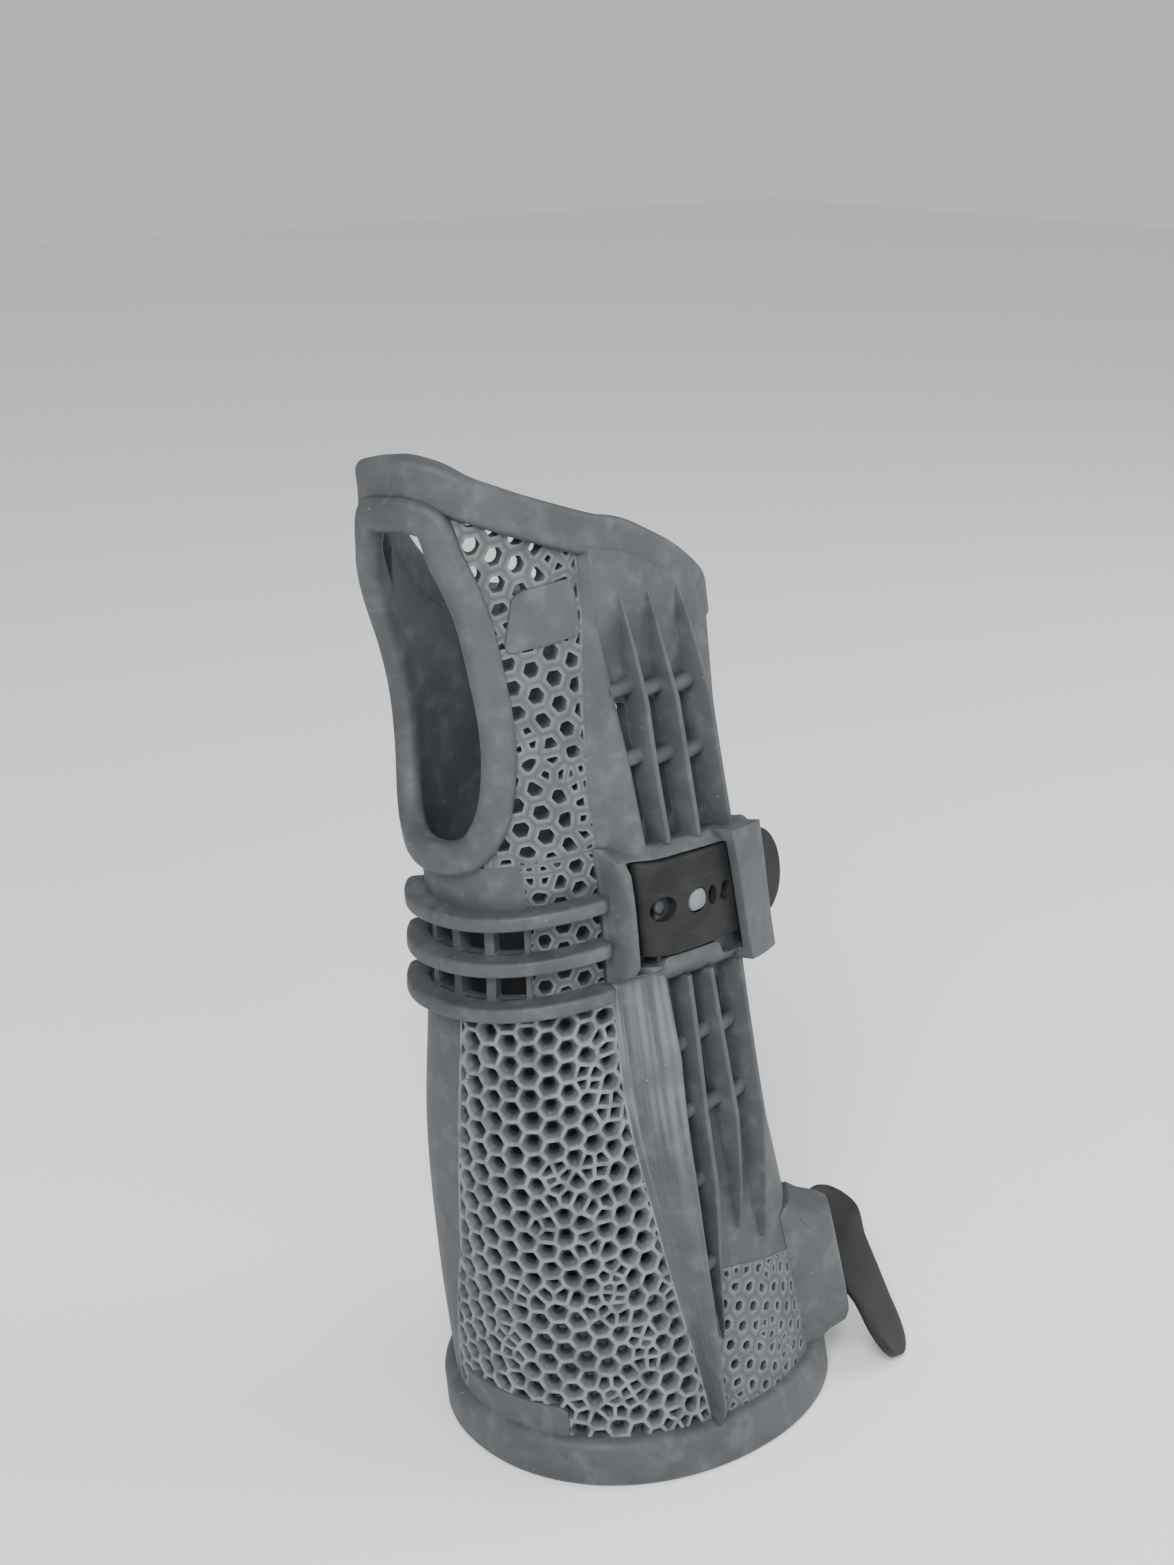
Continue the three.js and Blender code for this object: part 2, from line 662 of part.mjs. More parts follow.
function collarFin(row) {
  const level = COLLAR_LEVEL + row * FIN_PITCH;
  const from = PALM_TURN;
  const to = STATION_LEFT - EDGE_TURN;
  const steps = 13;
  const rings = Array.from({ length: steps + 1 }, (_, i) => {
    const turn = lerp(from, to, i / steps);
    const ends = Math.min(i, steps - i);
    const full = ends === 0 ? 0.45 : ends === 1 ? 0.85 : 1;
    const half = (FIN_HEIGHT / 2) * full;
    const reach = FIN_REACH * full;
    return [
      skin(turn, level - half, FIT),
      skin(turn, level - half, reach - half * 0.5),
      skin(turn, level - half * 0.5, reach),
      skin(turn, level + half * 0.5, reach),
      skin(turn, level + half, reach - half * 0.5),
      skin(turn, level + half, FIT),
    ];
  });
  return loft(rings);
}

// How far the shell stands out beside the strap's middle, in the waist
const WAIST_TURNS = [48, 60, 75, 90, 108];
const waistRise = Math.max(0, ...WAIST_TURNS.map((turn) => {
  const level = strapLevel(WRIST_BELT, turn);
  const middle = skin(turn, level);
  const up = skin(turn, level + STRAP_WIDTH / 2);
  const down = skin(turn, level - STRAP_WIDTH / 2);
  const away = skin(turn, level, 1).sub(middle);
  return up.add(down).multiplyScalar(0.5).sub(middle).dot(away);
}));

// Heights of the strap's two layers and of the bed between them
const UNDER_STRAP = STRAP_THICKNESS / 2 + FIT + waistRise;
const TUNNEL_HEIGHT = STRAP_THICKNESS + waistRise + 2 * FIT;
const BED_TOP = TUNNEL_HEIGHT + BED_THICKNESS;
const OVER_STRAP = BED_TOP + FIT + STRAP_THICKNESS / 2;
const STATION_REACH = BED_TOP + STRAP_THICKNESS;
const KEEPER_UNDER = OVER_STRAP + STRAP_THICKNESS / 2 + 2 * FIT;

// Degrees between the steps of a channel, and how far it runs past the piece it is cut from
const CHANNEL_STEP = 12;
const CHANNEL_SPARE = 4;

// The raised frame: a tunnel for the strap's lower layer, a slot where it comes up, and the open bed
function stationBlock({ belt, left, right, slotLeft, bedLeft, inner, tunnelFloor, across }) {
  const low = (turn) => windowLow(belt, turn) - STATION_BORDER;
  const high = (turn) => windowHigh(belt, turn) + STATION_BORDER;
  const block = sheet({
    left: () => left,
    right: () => right,
    low,
    high,
    inner,
    outer: (turn, level) => {
      const side = Math.min(level - low(turn), high(turn) - level);
      const end = (turn - left) / degreesPerMillimetre(turn, level);
      return clamp(STATION_REACH - STATION_BORDER + Math.min(side, end + FIT), STATION_EDGE, STATION_REACH);
    },
    across,
    along: 5,
  });
  const channel = (from, to, bottom, top) => sheet({
    left: () => from,
    right: () => to,
    low: (turn) => windowLow(belt, turn),
    high: (turn) => windowHigh(belt, turn),
    inner: bottom,
    outer: () => top,
    across: Math.ceil((to - from) / CHANNEL_STEP),
    along: 1,
    seam: 0,
  });
  const end = right + CHANNEL_SPARE;
  return cutAll(block, [
    channel(slotLeft, end, tunnelFloor, TUNNEL_HEIGHT),
    channel(slotLeft, end, BED_TOP, 2 * STATION_REACH),
    channel(slotLeft, bedLeft, tunnelFloor, 2 * STATION_REACH),
  ]);
}

// A keeper bridges the bed from one border of the station to the other
function keeper({ belt, left, right }) {
  const low = (turn) => windowLow(belt, turn) - STATION_BORDER;
  const high = (turn) => windowHigh(belt, turn) + STATION_BORDER;
  const slant = ({ foot, top }) => (level) => lerp(
    foot, top, clamp((level - low(foot)) / (high(top) - low(foot)), 0, 1));
  const bridge = sheet({
    left: slant(left),
    right: slant(right),
    low,
    high,
    inner: STATION_REACH + FIT,
    outer: () => KEEPER_UNDER + KEEPER_THICKNESS,
    across: 4,
    along: 2,
  });
  const way = sheet({
    left: () => Math.min(left.foot, left.top) - CHANNEL_SPARE,
    right: () => Math.max(right.foot, right.top) + CHANNEL_SPARE,
    low: (turn) => windowLow(belt, turn),
    high: (turn) => windowHigh(belt, turn),
    inner: 0,
    outer: () => KEEPER_UNDER,
    across: 6,
    along: 1,
  });
  return bridge.subtract(way);
}

// A strap: a flat band along points given as a turn, a distance outwards and a drop along the forearm.
// twist turns its width from along the forearm to across it, where a free end hangs down.
const HANGING_WIDTH = new THREE.Vector3(0.8, 0.58, -0.13);

function strap(belt, route, spare = 0) {
  const guide = new THREE.CatmullRomCurve3(route.map(({ turn, out, drop = 0 }) => (
    new THREE.Vector3(turn, out, drop))), false, 'centripetal');
  const twistAt = (share) => {
    const row = Math.min(Math.floor(share * (route.length - 1)), route.length - 2);
    return lerp(route[row].twist ?? 0, route[row + 1].twist ?? 0, share * (route.length - 1) - row);
  };
  const steps = route.length * 2;
  const points = Array.from({ length: steps + 1 }, (_, i) => {
    const place = guide.getPoint(i / steps);
    return skin(place.x, strapLevel(belt, place.x) - place.z, place.y);
  });
  const rings = points.map((point, i) => {
    const along = points[Math.min(i + 1, steps)].clone().sub(points[Math.max(i - 1, 0)]).normalize();
    const place = guide.getPoint(i / steps);
    const reach = STRAP_WIDTH / 2;
    const middle = strapLevel(belt, place.x) - place.z;
    const wide = skin(place.x, middle + reach, place.y).sub(skin(place.x, middle - reach, place.y))
      .normalize().lerp(HANGING_WIDTH, twistAt(i / steps));
    if (twistAt(i / steps) > 0) wide.addScaledVector(along, -along.dot(wide));
    wide.normalize();
    const thick = new THREE.Vector3().crossVectors(along, wide).normalize();
    const left = steps - i;
    const half = reach * (left === 0 ? 0.5 : left === 1 ? 0.85 : 1) + spare;
    return [[-1, -1], [1, -1], [1, 1], [-1, 1]].map(([w, t]) => point.clone()
      .addScaledVector(wide, w * half)
      .addScaledVector(thick, t * (STRAP_THICKNESS / 2 + spare)));
  });
  return loft(rings);
}

const WRIST_ROUTE = [
  { turn: 128, out: UNDER_STRAP },
  { turn: 108, out: UNDER_STRAP },
  { turn: 90, out: UNDER_STRAP },
  { turn: 72, out: UNDER_STRAP },
  { turn: 55, out: UNDER_STRAP },
  { turn: 36, out: UNDER_STRAP },
  { turn: 18, out: UNDER_STRAP },
  { turn: 2, out: UNDER_STRAP },
  { turn: -5.5, out: UNDER_STRAP },
  { turn: -9.8, out: UNDER_STRAP + 0.35 * (OVER_STRAP - UNDER_STRAP) },
  { turn: -10, out: UNDER_STRAP + 0.75 * (OVER_STRAP - UNDER_STRAP) },
  { turn: -6, out: OVER_STRAP + 0.5 },
  { turn: 1, out: OVER_STRAP + 0.9 },
  { turn: 9, out: OVER_STRAP + 0.4 },
  { turn: 18, out: OVER_STRAP },
  { turn: 30, out: OVER_STRAP },
  { turn: 40, out: OVER_STRAP },
  { turn: 44, out: OVER_STRAP + 0.2 },
  { turn: 50, out: OVER_STRAP + 2 },
  { turn: 56, out: OVER_STRAP + 4.6 },
];
const CUFF_ROUTE = [
  { turn: 128, out: UNDER_STRAP },
  { turn: 108, out: UNDER_STRAP },
  { turn: 90, out: UNDER_STRAP },
  { turn: 74, out: UNDER_STRAP },
  { turn: 62, out: UNDER_STRAP },
  { turn: 53, out: UNDER_STRAP },
  { turn: 48.6, out: UNDER_STRAP + 0.35 * (OVER_STRAP - UNDER_STRAP) },
  { turn: 48.4, out: UNDER_STRAP + 0.7 * (OVER_STRAP - UNDER_STRAP) },
  { turn: 52.5, out: OVER_STRAP },
  { turn: 60, out: OVER_STRAP },
  { turn: 65.5, out: OVER_STRAP + 0.4 },
  { turn: 70.2, out: OVER_STRAP + 3.4, drop: 2.4, twist: 0.15 },
  { turn: 67.8, out: OVER_STRAP + 8.4, drop: 10, twist: 0.65 },
  { turn: 60, out: OVER_STRAP + 12, drop: 19.5, twist: 1 },
  { turn: 50.5, out: OVER_STRAP + 14.2, drop: 28, twist: 1 },
];

// Pegs stand on the bed and pass through the strap's holes
function peg(turn) {
  const level = strapLevel(WRIST_BELT, turn);
  const foot = skin(turn, level, BED_TOP + FIT);
  const head = skin(turn, level, OVER_STRAP + STRAP_THICKNESS);
  const along = head.clone().sub(foot);
  const shape = new THREE.CylinderGeometry(PEG_DIAMETER / 2 * 0.9, PEG_DIAMETER / 2, along.length(), 10);
  shape.applyQuaternion(new THREE.Quaternion().setFromUnitVectors(
    new THREE.Vector3(0, 1, 0), along.clone().normalize()));
  shape.translate(...foot.clone().lerp(head, 0.5));
  return toSolid(shape);
}

function strapHole(turn, radius) {
  const level = strapLevel(WRIST_BELT, turn);
  const degrees = degreesPerMillimetre(turn, level);
  const loop = Array.from({ length: 10 }, (_, i) => {
    const angle = (i * Math.PI) / 5;
    return [turn + radius * Math.cos(angle) * degrees, level + radius * Math.sin(angle)];
  });
  return plug(loop, BED_TOP - FIT, KEEPER_UNDER + CUT_SPARE);
}

const printed = new THREE.MeshStandardMaterial({ color: 0x666c72, roughness: 0.55, metalness: 0 });
const rubber = new THREE.MeshStandardMaterial({ color: 0x383836, roughness: 0.6, metalness: 0 });
const pegGrey = new THREE.MeshStandardMaterial({ color: 0x8a9199, roughness: 0.5, metalness: 0 });

const brace = new THREE.Group();
const leaning = new THREE.Group();
leaning.quaternion.setFromAxisAngle(
  new THREE.Vector3(0, 0, 1).cross(leanTowards).normalize(), degToRad(LEAN));
brace.add(leaning);

function add(name, solid, material = printed) {
  const mesh = new THREE.Mesh(toGeometry(solid), material);
  mesh.name = name;
  leaning.add(mesh);
}

const forearmLeft = edge(FOREARM_MESH_LEFT);
const forearmRight = edge(FOREARM_MESH_RIGHT);
const handRight = edge(HAND_MESH_RIGHT);
const handRimSpace = rim(handRimLine(), HAND_RIM_WIDTH + FIT, RIM_THICKNESS + 2 * FIT, false);
const thumbRimSpace = rim(thumbRimLine(), THUMB_RIM_WIDTH + FIT, RIM_THICKNESS + 2 * FIT, true);
const thumbSpace = [thumbPlug(), thumbRimSpace];
const flat = (value) => () => value;
// Panels that share a curved edge have as many rows
const FOREARM_ROWS = 5;
const HAND_ROWS = 5;

add('cuff_rim', cuffRim());
add('hand_rim', rim(handRimLine(), HAND_RIM_WIDTH - FIT, RIM_THICKNESS, false));
add('thumb_rim', rim(thumbRimLine(), THUMB_RIM_WIDTH - FIT, RIM_THICKNESS, true).subtract(handRimSpace));

const forearmMesh = { left: forearmLeft, right: forearmRight, low: cuffEdge, high: flat(wristLow) };
add('forearm_mesh_panel', cutAll(
  sheet({ ...forearmMesh, across: 4, along: FOREARM_ROWS }), cells(forearmMesh)));

add('forearm_spine', spineSheet({
  ribs: FOREARM_RIBS, left: forearmRight, low: cuffEdge, high: stationLow, along: FOREARM_ROWS,
}));
const besideSpine = (ribs) => (level) => {
  const turn = ribTurn(ribs, 0, level);
  return turn + (RIB_WIDTH / 2) * degreesPerMillimetre(turn, level);
};
const forearmFloor = {
  left: besideSpine(FOREARM_RIBS), right: flat(STATION_RIGHT), low: cuffEdge, high: stationLow,
};
const smallMesh = { ...forearmFloor, right: flat(SMALL_MESH_RIGHT), high: flat(SMALL_MESH_LEVEL) };
add('forearm_channel_floor', cutAll(sheet({ ...forearmFloor, across: 6, along: FOREARM_ROWS }),
  [...slots(FOREARM_RIBS, FOREARM_SLOTS), ...cells(smallMesh)]));
// Each rib runs from the wrist station to the last level of its table
const forearmRib = (index) => {
  const [first] = FOREARM_RIBS[index];
  const end = stationLow(ribTurn(FOREARM_RIBS, index, wristLow)) - FIT;
  return { index, from: first.at * LENGTH, to: end, fadeLow: true };
};
const handRib = (index) => {
  const last = HAND_RIBS[index].at(-1);
  const start = stationHigh(ribTurn(HAND_RIBS, index, wristHigh)) + FIT;
  return { index, from: start, to: last.at * LENGTH, fadeHigh: true };
};
add('forearm_ribs', lattice(FOREARM_RIBS, FOREARM_RODS, [1, 2, 3].map(forearmRib)));

const radial = {
  left: flat(PALM_TURN), right: flat(STATION_LEFT), low: flat(wristLow), high: flat(wristHigh),
};
const radialCells = { ...radial, left: flat(VENT_TURN + EDGE_TURN), high: flat(wristHigh - WALL) };
add('wrist_vent_panel', cutAll(sheet({ ...radial, across: 9, along: 4 }),
  [...thumbSpace, ...vents(), ...cells(radialCells)]));
[-1, 0, 1].forEach((row) => add(`collar_fin_${row + 2}`, collarFin(row)));

const handMesh = { left: flat(THUMB_WEB_TURN), right: handRight, low: flat(wristHigh), high: handRimLevel };
// Whether a cell would reach the thumb rim, or lie inside its ring
const THUMB_SIDE = -90;
const nearThumb = (turn, level) => thumbRimLine().some(([t, l]) => (
  Math.hypot((t - turn) / degreesPerMillimetre(turn, level), l - level)
    < THUMB_RIM_WIDTH / 2 + PANEL_MARGIN
    || (Math.abs(l - level) < CELL_PITCH / 2 && t > turn && t > THUMB_SIDE)));
add('hand_mesh_panel', cutAll(sheet({ ...handMesh, across: 4, along: HAND_ROWS }),
  [...thumbSpace, handRimSpace, ...cells({ ...handMesh, keepOff: nearThumb })]));
add('hand_spine', spineSheet({
  ribs: HAND_RIBS, left: handRight, low: stationHigh, high: handRimLevel, along: HAND_ROWS,
}).subtract(handRimSpace));
const handFloor = {
  left: besideSpine(HAND_RIBS), right: flat(STATION_RIGHT), low: stationHigh, high: handRimLevel,
};
add('hand_channel_floor', cutAll(sheet({ ...handFloor, outer: plateRise, across: 6, along: HAND_ROWS }),
  [handRimSpace, ...slots(HAND_RIBS, HAND_SLOTS)]));
const handFloorSpace = sheet({
  ...handFloor, outer: (turn, level) => plateRise(turn, level) + FIT, across: 6, along: HAND_ROWS, seam: 0,
});
add('hand_ribs', cutAll(lattice(HAND_RIBS, HAND_RODS, [1, 2, 3].map(handRib)),
  [handRimSpace, handFloorSpace]));

add('ulnar_forearm_panel', sheet({
  left: flat(STATION_RIGHT), right: slitLeft, low: cuffEdge, high: flat(wristLow), across: 7,
  along: FOREARM_ROWS,
}));
add('ulnar_hand_panel', sheet({
  left: flat(STATION_RIGHT), right: slitLeft, low: flat(wristLow), high: handRimLevel, across: 7,
  along: HAND_ROWS,
}).subtract(handRimSpace));
add('volar_forearm_panel', sheet({
  left: slitRight, right: forearmLeft, low: cuffEdge, high: flat(wristLow), across: 11, along: FOREARM_ROWS,
}));
add('palm_panel', cutAll(sheet({
  left: slitRight, right: flat(PALM_TURN), low: flat(wristLow), high: handRimLevel, across: 8,
  along: HAND_ROWS,
}), [...thumbSpace, handRimSpace]));

const wristStrapSpace = strap(WRIST_BELT, WRIST_ROUTE, FIT);
const cuffStrapSpace = strap(CUFF_BELT, CUFF_ROUTE, FIT);
add('wrist_station', stationBlock({
  belt: WRIST_BELT, left: STATION_LEFT, right: STATION_RIGHT, slotLeft: SLOT_LEFT, bedLeft: BED_LEFT,
  inner: -WALL, tunnelFloor: 0, across: 7,
}).subtract(wristStrapSpace));
add('wrist_keeper', keeper({ belt: WRIST_BELT, left: KEEPER_LEFT, right: KEEPER_RIGHT })
  .subtract(wristStrapSpace));
const pegTurns = [PEG_TURN, turnAtDistance(PEG_TURN, strapLevel(WRIST_BELT, PEG_TURN), -PEG_PITCH)];
const wristStrap = pegTurns.reduce((rest, turn) => rest.subtract(strapHole(turn, PEG_DIAMETER / 2 + FIT)),
  strap(WRIST_BELT, WRIST_ROUTE));
add('wrist_strap', wristStrap, rubber);
add('wrist_peg', peg(pegTurns[0]), pegGrey);

const cuffStrap = strap(CUFF_BELT, CUFF_ROUTE);
add('cuff_station', cutAll(stationBlock({
  belt: CUFF_BELT, left: CUFF_STATION_LEFT, right: CUFF_STATION_RIGHT, slotLeft: CUFF_SLOT_LEFT,
  bedLeft: CUFF_BED_LEFT, inner: FIT, tunnelFloor: -FIT, across: 5,
}), [cuffStrapSpace]));
add('cuff_keeper', keeper({
  belt: CUFF_BELT,
  left: { foot: CUFF_STATION_LEFT, top: CUFF_STATION_LEFT },
  right: { foot: CUFF_STATION_RIGHT, top: CUFF_STATION_RIGHT },
}).subtract(cuffStrapSpace));
add('cuff_strap', cuffStrap, rubber);

// The part stands on its cuff, with its origin in the middle of its footprint
brace.updateMatrixWorld(true);
const box = new THREE.Box3().setFromObject(brace, true);
const middle = box.getCenter(new THREE.Vector3());
brace.position.set(-middle.x, -middle.y, -box.min.z);

export default brace;
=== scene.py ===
"""A printed wrist brace with two rubber straps, dressed for rendering."""
import math
import random

import bmesh
import bpy
import numpy as np
from mathutils import Matrix, Vector


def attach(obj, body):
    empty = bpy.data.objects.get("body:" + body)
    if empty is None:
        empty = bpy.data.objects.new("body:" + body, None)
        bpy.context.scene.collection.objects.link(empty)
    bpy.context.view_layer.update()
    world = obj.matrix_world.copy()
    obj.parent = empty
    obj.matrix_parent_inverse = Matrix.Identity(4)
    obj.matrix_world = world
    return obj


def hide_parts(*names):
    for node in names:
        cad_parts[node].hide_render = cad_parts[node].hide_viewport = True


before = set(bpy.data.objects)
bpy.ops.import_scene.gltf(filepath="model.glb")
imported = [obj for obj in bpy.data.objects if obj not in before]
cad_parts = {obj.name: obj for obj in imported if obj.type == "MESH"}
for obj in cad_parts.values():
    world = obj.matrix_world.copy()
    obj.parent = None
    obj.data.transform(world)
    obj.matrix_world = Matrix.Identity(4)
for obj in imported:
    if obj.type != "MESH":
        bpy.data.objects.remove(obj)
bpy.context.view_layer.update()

# Sizes of the brace in millimetres, angles in degrees. A turn goes round the forearm: 0 is the back of the
# hand, 90 the little finger's side, 180 the palm, -90 the thumb's side. A level is a height along the
# forearm and out a distance outwards from the shell's face.
MM = 0.001
LENGTH = 240.0
CUFF_WIDTH, CUFF_DEPTH = 95.0, 80.0
WRIST_WIDTH, WRIST_DEPTH = 76.0, 55.0
HAND_WIDTH, HAND_DEPTH = 82.0, 48.0
LEAN = 8.0
LEAN_TOWARDS = (-0.766, 0.643)
STAND = (2.7362, -4.2554, 0.0006)
WALL = 3.0
SLIT_TURN, SLIT_WIDTH = 108.0, 12.0
FIT = 0.3

CUFF_RIM_HEIGHT = 12.0
HAND_RIM_WIDTH = 9.5
THUMB_RIM_WIDTH = 8.0
RIM_PROUD = 3.0
RIM_THICKNESS = WALL + RIM_PROUD
HAND_RIM_CORNER, THUMB_RIM_CORNER = 1.7, 2.4
HAND_PLATE = 26.0

FIN_HEIGHT, FIN_REACH, FIN_PITCH = 3.4, 5.0, 10.5
VENT_TURN, VENT_BAR, VENT_PITCH, VENT_COUNT = -50.0, 2.4, 9.5, 5

RIB_WIDTH, RIB_FOOT, RIB_REACH = 1.7, 2.2, 6.4
RIB_FADE, RIB_TIP = 0.45, 0.12
SLOT_LEDGE = 0.3
SPINE_REACH = 6.2
ROD_DIAMETER = 4.0

STRAP_WIDTH, STRAP_THICKNESS, STRAP_PLAY = 22.0, 2.2, 4.0
PEG_TURN, PEG_DIAMETER, PEG_PITCH = 5.0, 5.0, 9.2
STATION_BORDER = 2.8
BED_THICKNESS, KEEPER_THICKNESS = 2.2, 2.2

STATION_LEFT, STATION_RIGHT = -17.5, 48.0
CUFF_STATION_LEFT, CUFF_STATION_RIGHT = 43.0, 61.5
SLOT_LEFT, BED_LEFT = -13.4, -5.5
SHOULDER_LEFT, CUFF_SHOULDER_LEFT = -20.5, 37.0
CUFF_SLOT_LEFT, CUFF_BED_LEFT = 46.3, 51.6
KEEPER_LEFT, KEEPER_RIGHT = (24.0, 19.0), (42.0, 37.0)
PALM_TURN = -135.0
SMALL_MESH_RIGHT, SMALL_MESH_LEVEL, SMALL_MESH_SLOPE = 39.0, 0.19 * LENGTH, 0.3
WRIST_BELT = (0.581 * LENGTH, 8.2 / (STATION_RIGHT - STATION_LEFT))
CUFF_BELT = (0.11 * LENGTH, 0.0)
COLLAR_LEVEL = 0.556 * LENGTH

# Cross-sections: share of the length, centre x and y as shares of the wrist's width, blend to the cuff,
# blend to the hand's width, blend to the hand's depth, power of the oval
SECTIONS = np.array([
    (-0.0625, -0.066, 0.053, 1, 0, 0, 2.1),
    (0, -0.066, 0.053, 1, 0, 0, 2.1),
    (0.083, -0.066, 0.053, 0.92, 0, 0, 2.1),
    (0.208, -0.079, 0.053, 0.736, 0, 0, 2.15),
    (0.354, -0.079, 0.053, 0.46, 0, 0, 2.2),
    (0.5, -0.053, 0.026, 0.137, 0, 0, 2.25),
    (0.604, -0.026, 0.013, 0, 0, 0, 2.3),
    (0.708, -0.026, 0.007, 0, 0.36, 0.37, 2.35),
    (0.833, -0.026, 0, 0, 1, 1, 2.45),
    (0.9375, -0.007, 0, 0, 0.83, 1.43, 2.5),
    (1.0625, 0.046, 0, 0, -0.5, 1.71, 2.5),
])

# Centre line of the hand rim: turn, share of the length
HAND_RIM = np.array([
    (-235, 0.804), (-205, 0.821), (-180, 0.846), (-160, 0.887), (-140, 0.946), (-125, 0.984),
    (-110, 1.003), (-95, 1.009), (-80, 1.011), (-64, 1.004), (-50, 0.99), (-34, 0.974), (-16, 0.952),
    (-1, 0.929), (12, 0.903), (23, 0.884), (34, 0.865), (45, 0.848), (60, 0.829), (90, 0.808),
    (108, 0.804),
])

# Centre line of the rim round the thumb hole, the same way
THUMB_RIM = np.array([
    (-76, 0.971), (-64, 0.959), (-54, 0.927), (-47, 0.882), (-45, 0.817), (-46.5, 0.771), (-51, 0.729),
    (-58, 0.693), (-69, 0.667), (-84, 0.656), (-98, 0.656), (-113, 0.666), (-127, 0.69), (-138, 0.735),
    (-143, 0.79), (-141, 0.84), (-134, 0.882), (-122, 0.926), (-106, 0.96), (-90, 0.973),
])

# Edges between panels and the lines of the ribs: share of the length, turn
FOREARM_MESH_LEFT = np.array([(0, -112), (0.065, -109), (0.14, -102), (0.25, -91), (0.36, -87), (0.5, -85)])
FOREARM_MESH_RIGHT = np.array([(0, -10), (0.14, -12.5), (0.28, -15), (0.4, -18), (0.5, -18.5)])
HAND_MESH_RIGHT = np.array([(0.64, -18.5), (0.7, -18), (0.79, -12), (0.86, -7.5), (0.96, -6)])
HAND_RIBS = [np.array(rows) for rows in (
    [(0.62, -6.4), (0.72, -5.6), (0.82, -5.2), (0.93, -5.2)],
    [(0.62, 0.4), (0.72, 0.4), (0.82, 1.1), (0.885, 1.2)],
    [(0.61, 11.1), (0.7, 10.7), (0.8, 10.1), (0.878, 10)],
    [(0.59, 29), (0.69, 26.5), (0.77, 25.3), (0.865, 24.4)],
)]
FOREARM_RIBS = [np.array(rows) for rows in (
    [(0.02, -11), (0.1, -9.3), (0.2, -6.6), (0.31, -4.2), (0.43, -3), (0.53, -5.4)],
    [(0.12, -2.2), (0.2, -0.8), (0.3, 1.6), (0.42, 2.8), (0.51, 2.4)],
    [(0.22, 11.4), (0.31, 13.2), (0.4, 12.8), (0.5, 10.9)],
    [(0.19, 22), (0.25, 23.2), (0.32, 26), (0.4, 26.8), (0.49, 26.4)],
)]
# Slots through the floor: rib to the left, from and to as shares of the length
HAND_SLOTS = [(0, 0.655, 0.775), (1, 0.65, 0.77), (2, 0.64, 0.762)]
FOREARM_SLOTS = [(0, 0.2, 0.49), (1, 0.35, 0.482), (2, 0.345, 0.475)]
# Rods across the channels: rib to the left, share of the length
HAND_RODS = [(0, 0.789), (1, 0.78), (2, 0.772), (0, 0.723), (1, 0.715), (2, 0.707)]
FOREARM_RODS = [
    (0, 0.433), (1, 0.435), (2, 0.428), (0, 0.365), (1, 0.362), (2, 0.355), (0, 0.294), (0, 0.208),
]


# The shell's surface

def smooth_columns(at):
    """The sections' columns at shares of the length, along smooth curves through the rows."""
    places, rows = SECTIONS[:, 0], SECTIONS[:, 1:]
    slopes = np.empty_like(rows)
    slopes[1:-1] = (rows[2:] - rows[:-2]) / (places[2:] - places[:-2])[:, None]
    slopes[0] = (rows[1] - rows[0]) / (places[1] - places[0])
    slopes[-1] = (rows[-1] - rows[-2]) / (places[-1] - places[-2])
    row = np.clip(np.searchsorted(places, at) - 1, 0, len(places) - 2)
    span = (places[row + 1] - places[row])[:, None]
    t = ((at - places[row]) / span[:, 0])[:, None]
    return ((2 * t**3 - 3 * t**2 + 1) * rows[row] + (t**3 - 2 * t**2 + t) * span * slopes[row]
            + (3 * t**2 - 2 * t**3) * rows[row + 1] + (t**3 - t**2) * span * slopes[row + 1])


def skin(turn, level, out=0.0):
    """Points of the upright shell in millimetres."""
    turn, level, out = (np.asarray(v, float).ravel() for v in np.broadcast_arrays(turn, level, out))
    x, y, cuff, spread, flat, power = smooth_columns(level / LENGTH).T
    half_width = (WRIST_WIDTH + (CUFF_WIDTH - WRIST_WIDTH) * cuff + (HAND_WIDTH - WRIST_WIDTH) * spread) / 2
    half_depth = (WRIST_DEPTH + (CUFF_DEPTH - WRIST_DEPTH) * cuff + (HAND_DEPTH - WRIST_DEPTH) * flat) / 2

    def curve(angle):
        sin, cos = np.sin(angle), np.cos(angle)
        return np.stack([
            x * WRIST_WIDTH + half_width * np.sign(sin) * np.abs(sin) ** (2 / power),
            y * WRIST_WIDTH - half_depth * np.sign(cos) * np.abs(cos) ** (2 / power),
        ], axis=1)

    angle = np.radians(turn)
    step = 0.002
    along = curve(angle + step) - curve(angle - step)
    along /= np.linalg.norm(along, axis=1)[:, None]
    flat_place = curve(angle) + np.stack([along[:, 1], -along[:, 0]], axis=1) * out[:, None]
    return np.column_stack([flat_place, level])


TOWARDS = Vector((*LEAN_TOWARDS, 0))
LEANING = np.array(Matrix.Rotation(math.radians(LEAN), 3, Vector((0, 0, 1)).cross(TOWARDS).normalized()))


def stand(points):
    """Points of the upright shell, leant and set on the floor, in metres."""
    return (points @ LEANING.T + np.array(STAND)) * MM


def place(turn, level, out=0.0):
    return stand(skin(turn, level, out))


def unit(vectors):
    return vectors / np.maximum(np.linalg.norm(vectors, axis=-1, keepdims=True), 1e-9)


def outwards(turn, level):
    """Unit vectors away from the shell."""
    return unit(place(turn, level, 1.0) - place(turn, level, 0.0))


def degrees_per_mm(turn, level):
    turn, level = np.broadcast_arrays(np.asarray(turn, float), np.asarray(level, float))
    ends = skin(turn - 0.5, level) - skin(turn + 0.5, level)
    return (1 / np.linalg.norm(ends, axis=1)).reshape(turn.shape)


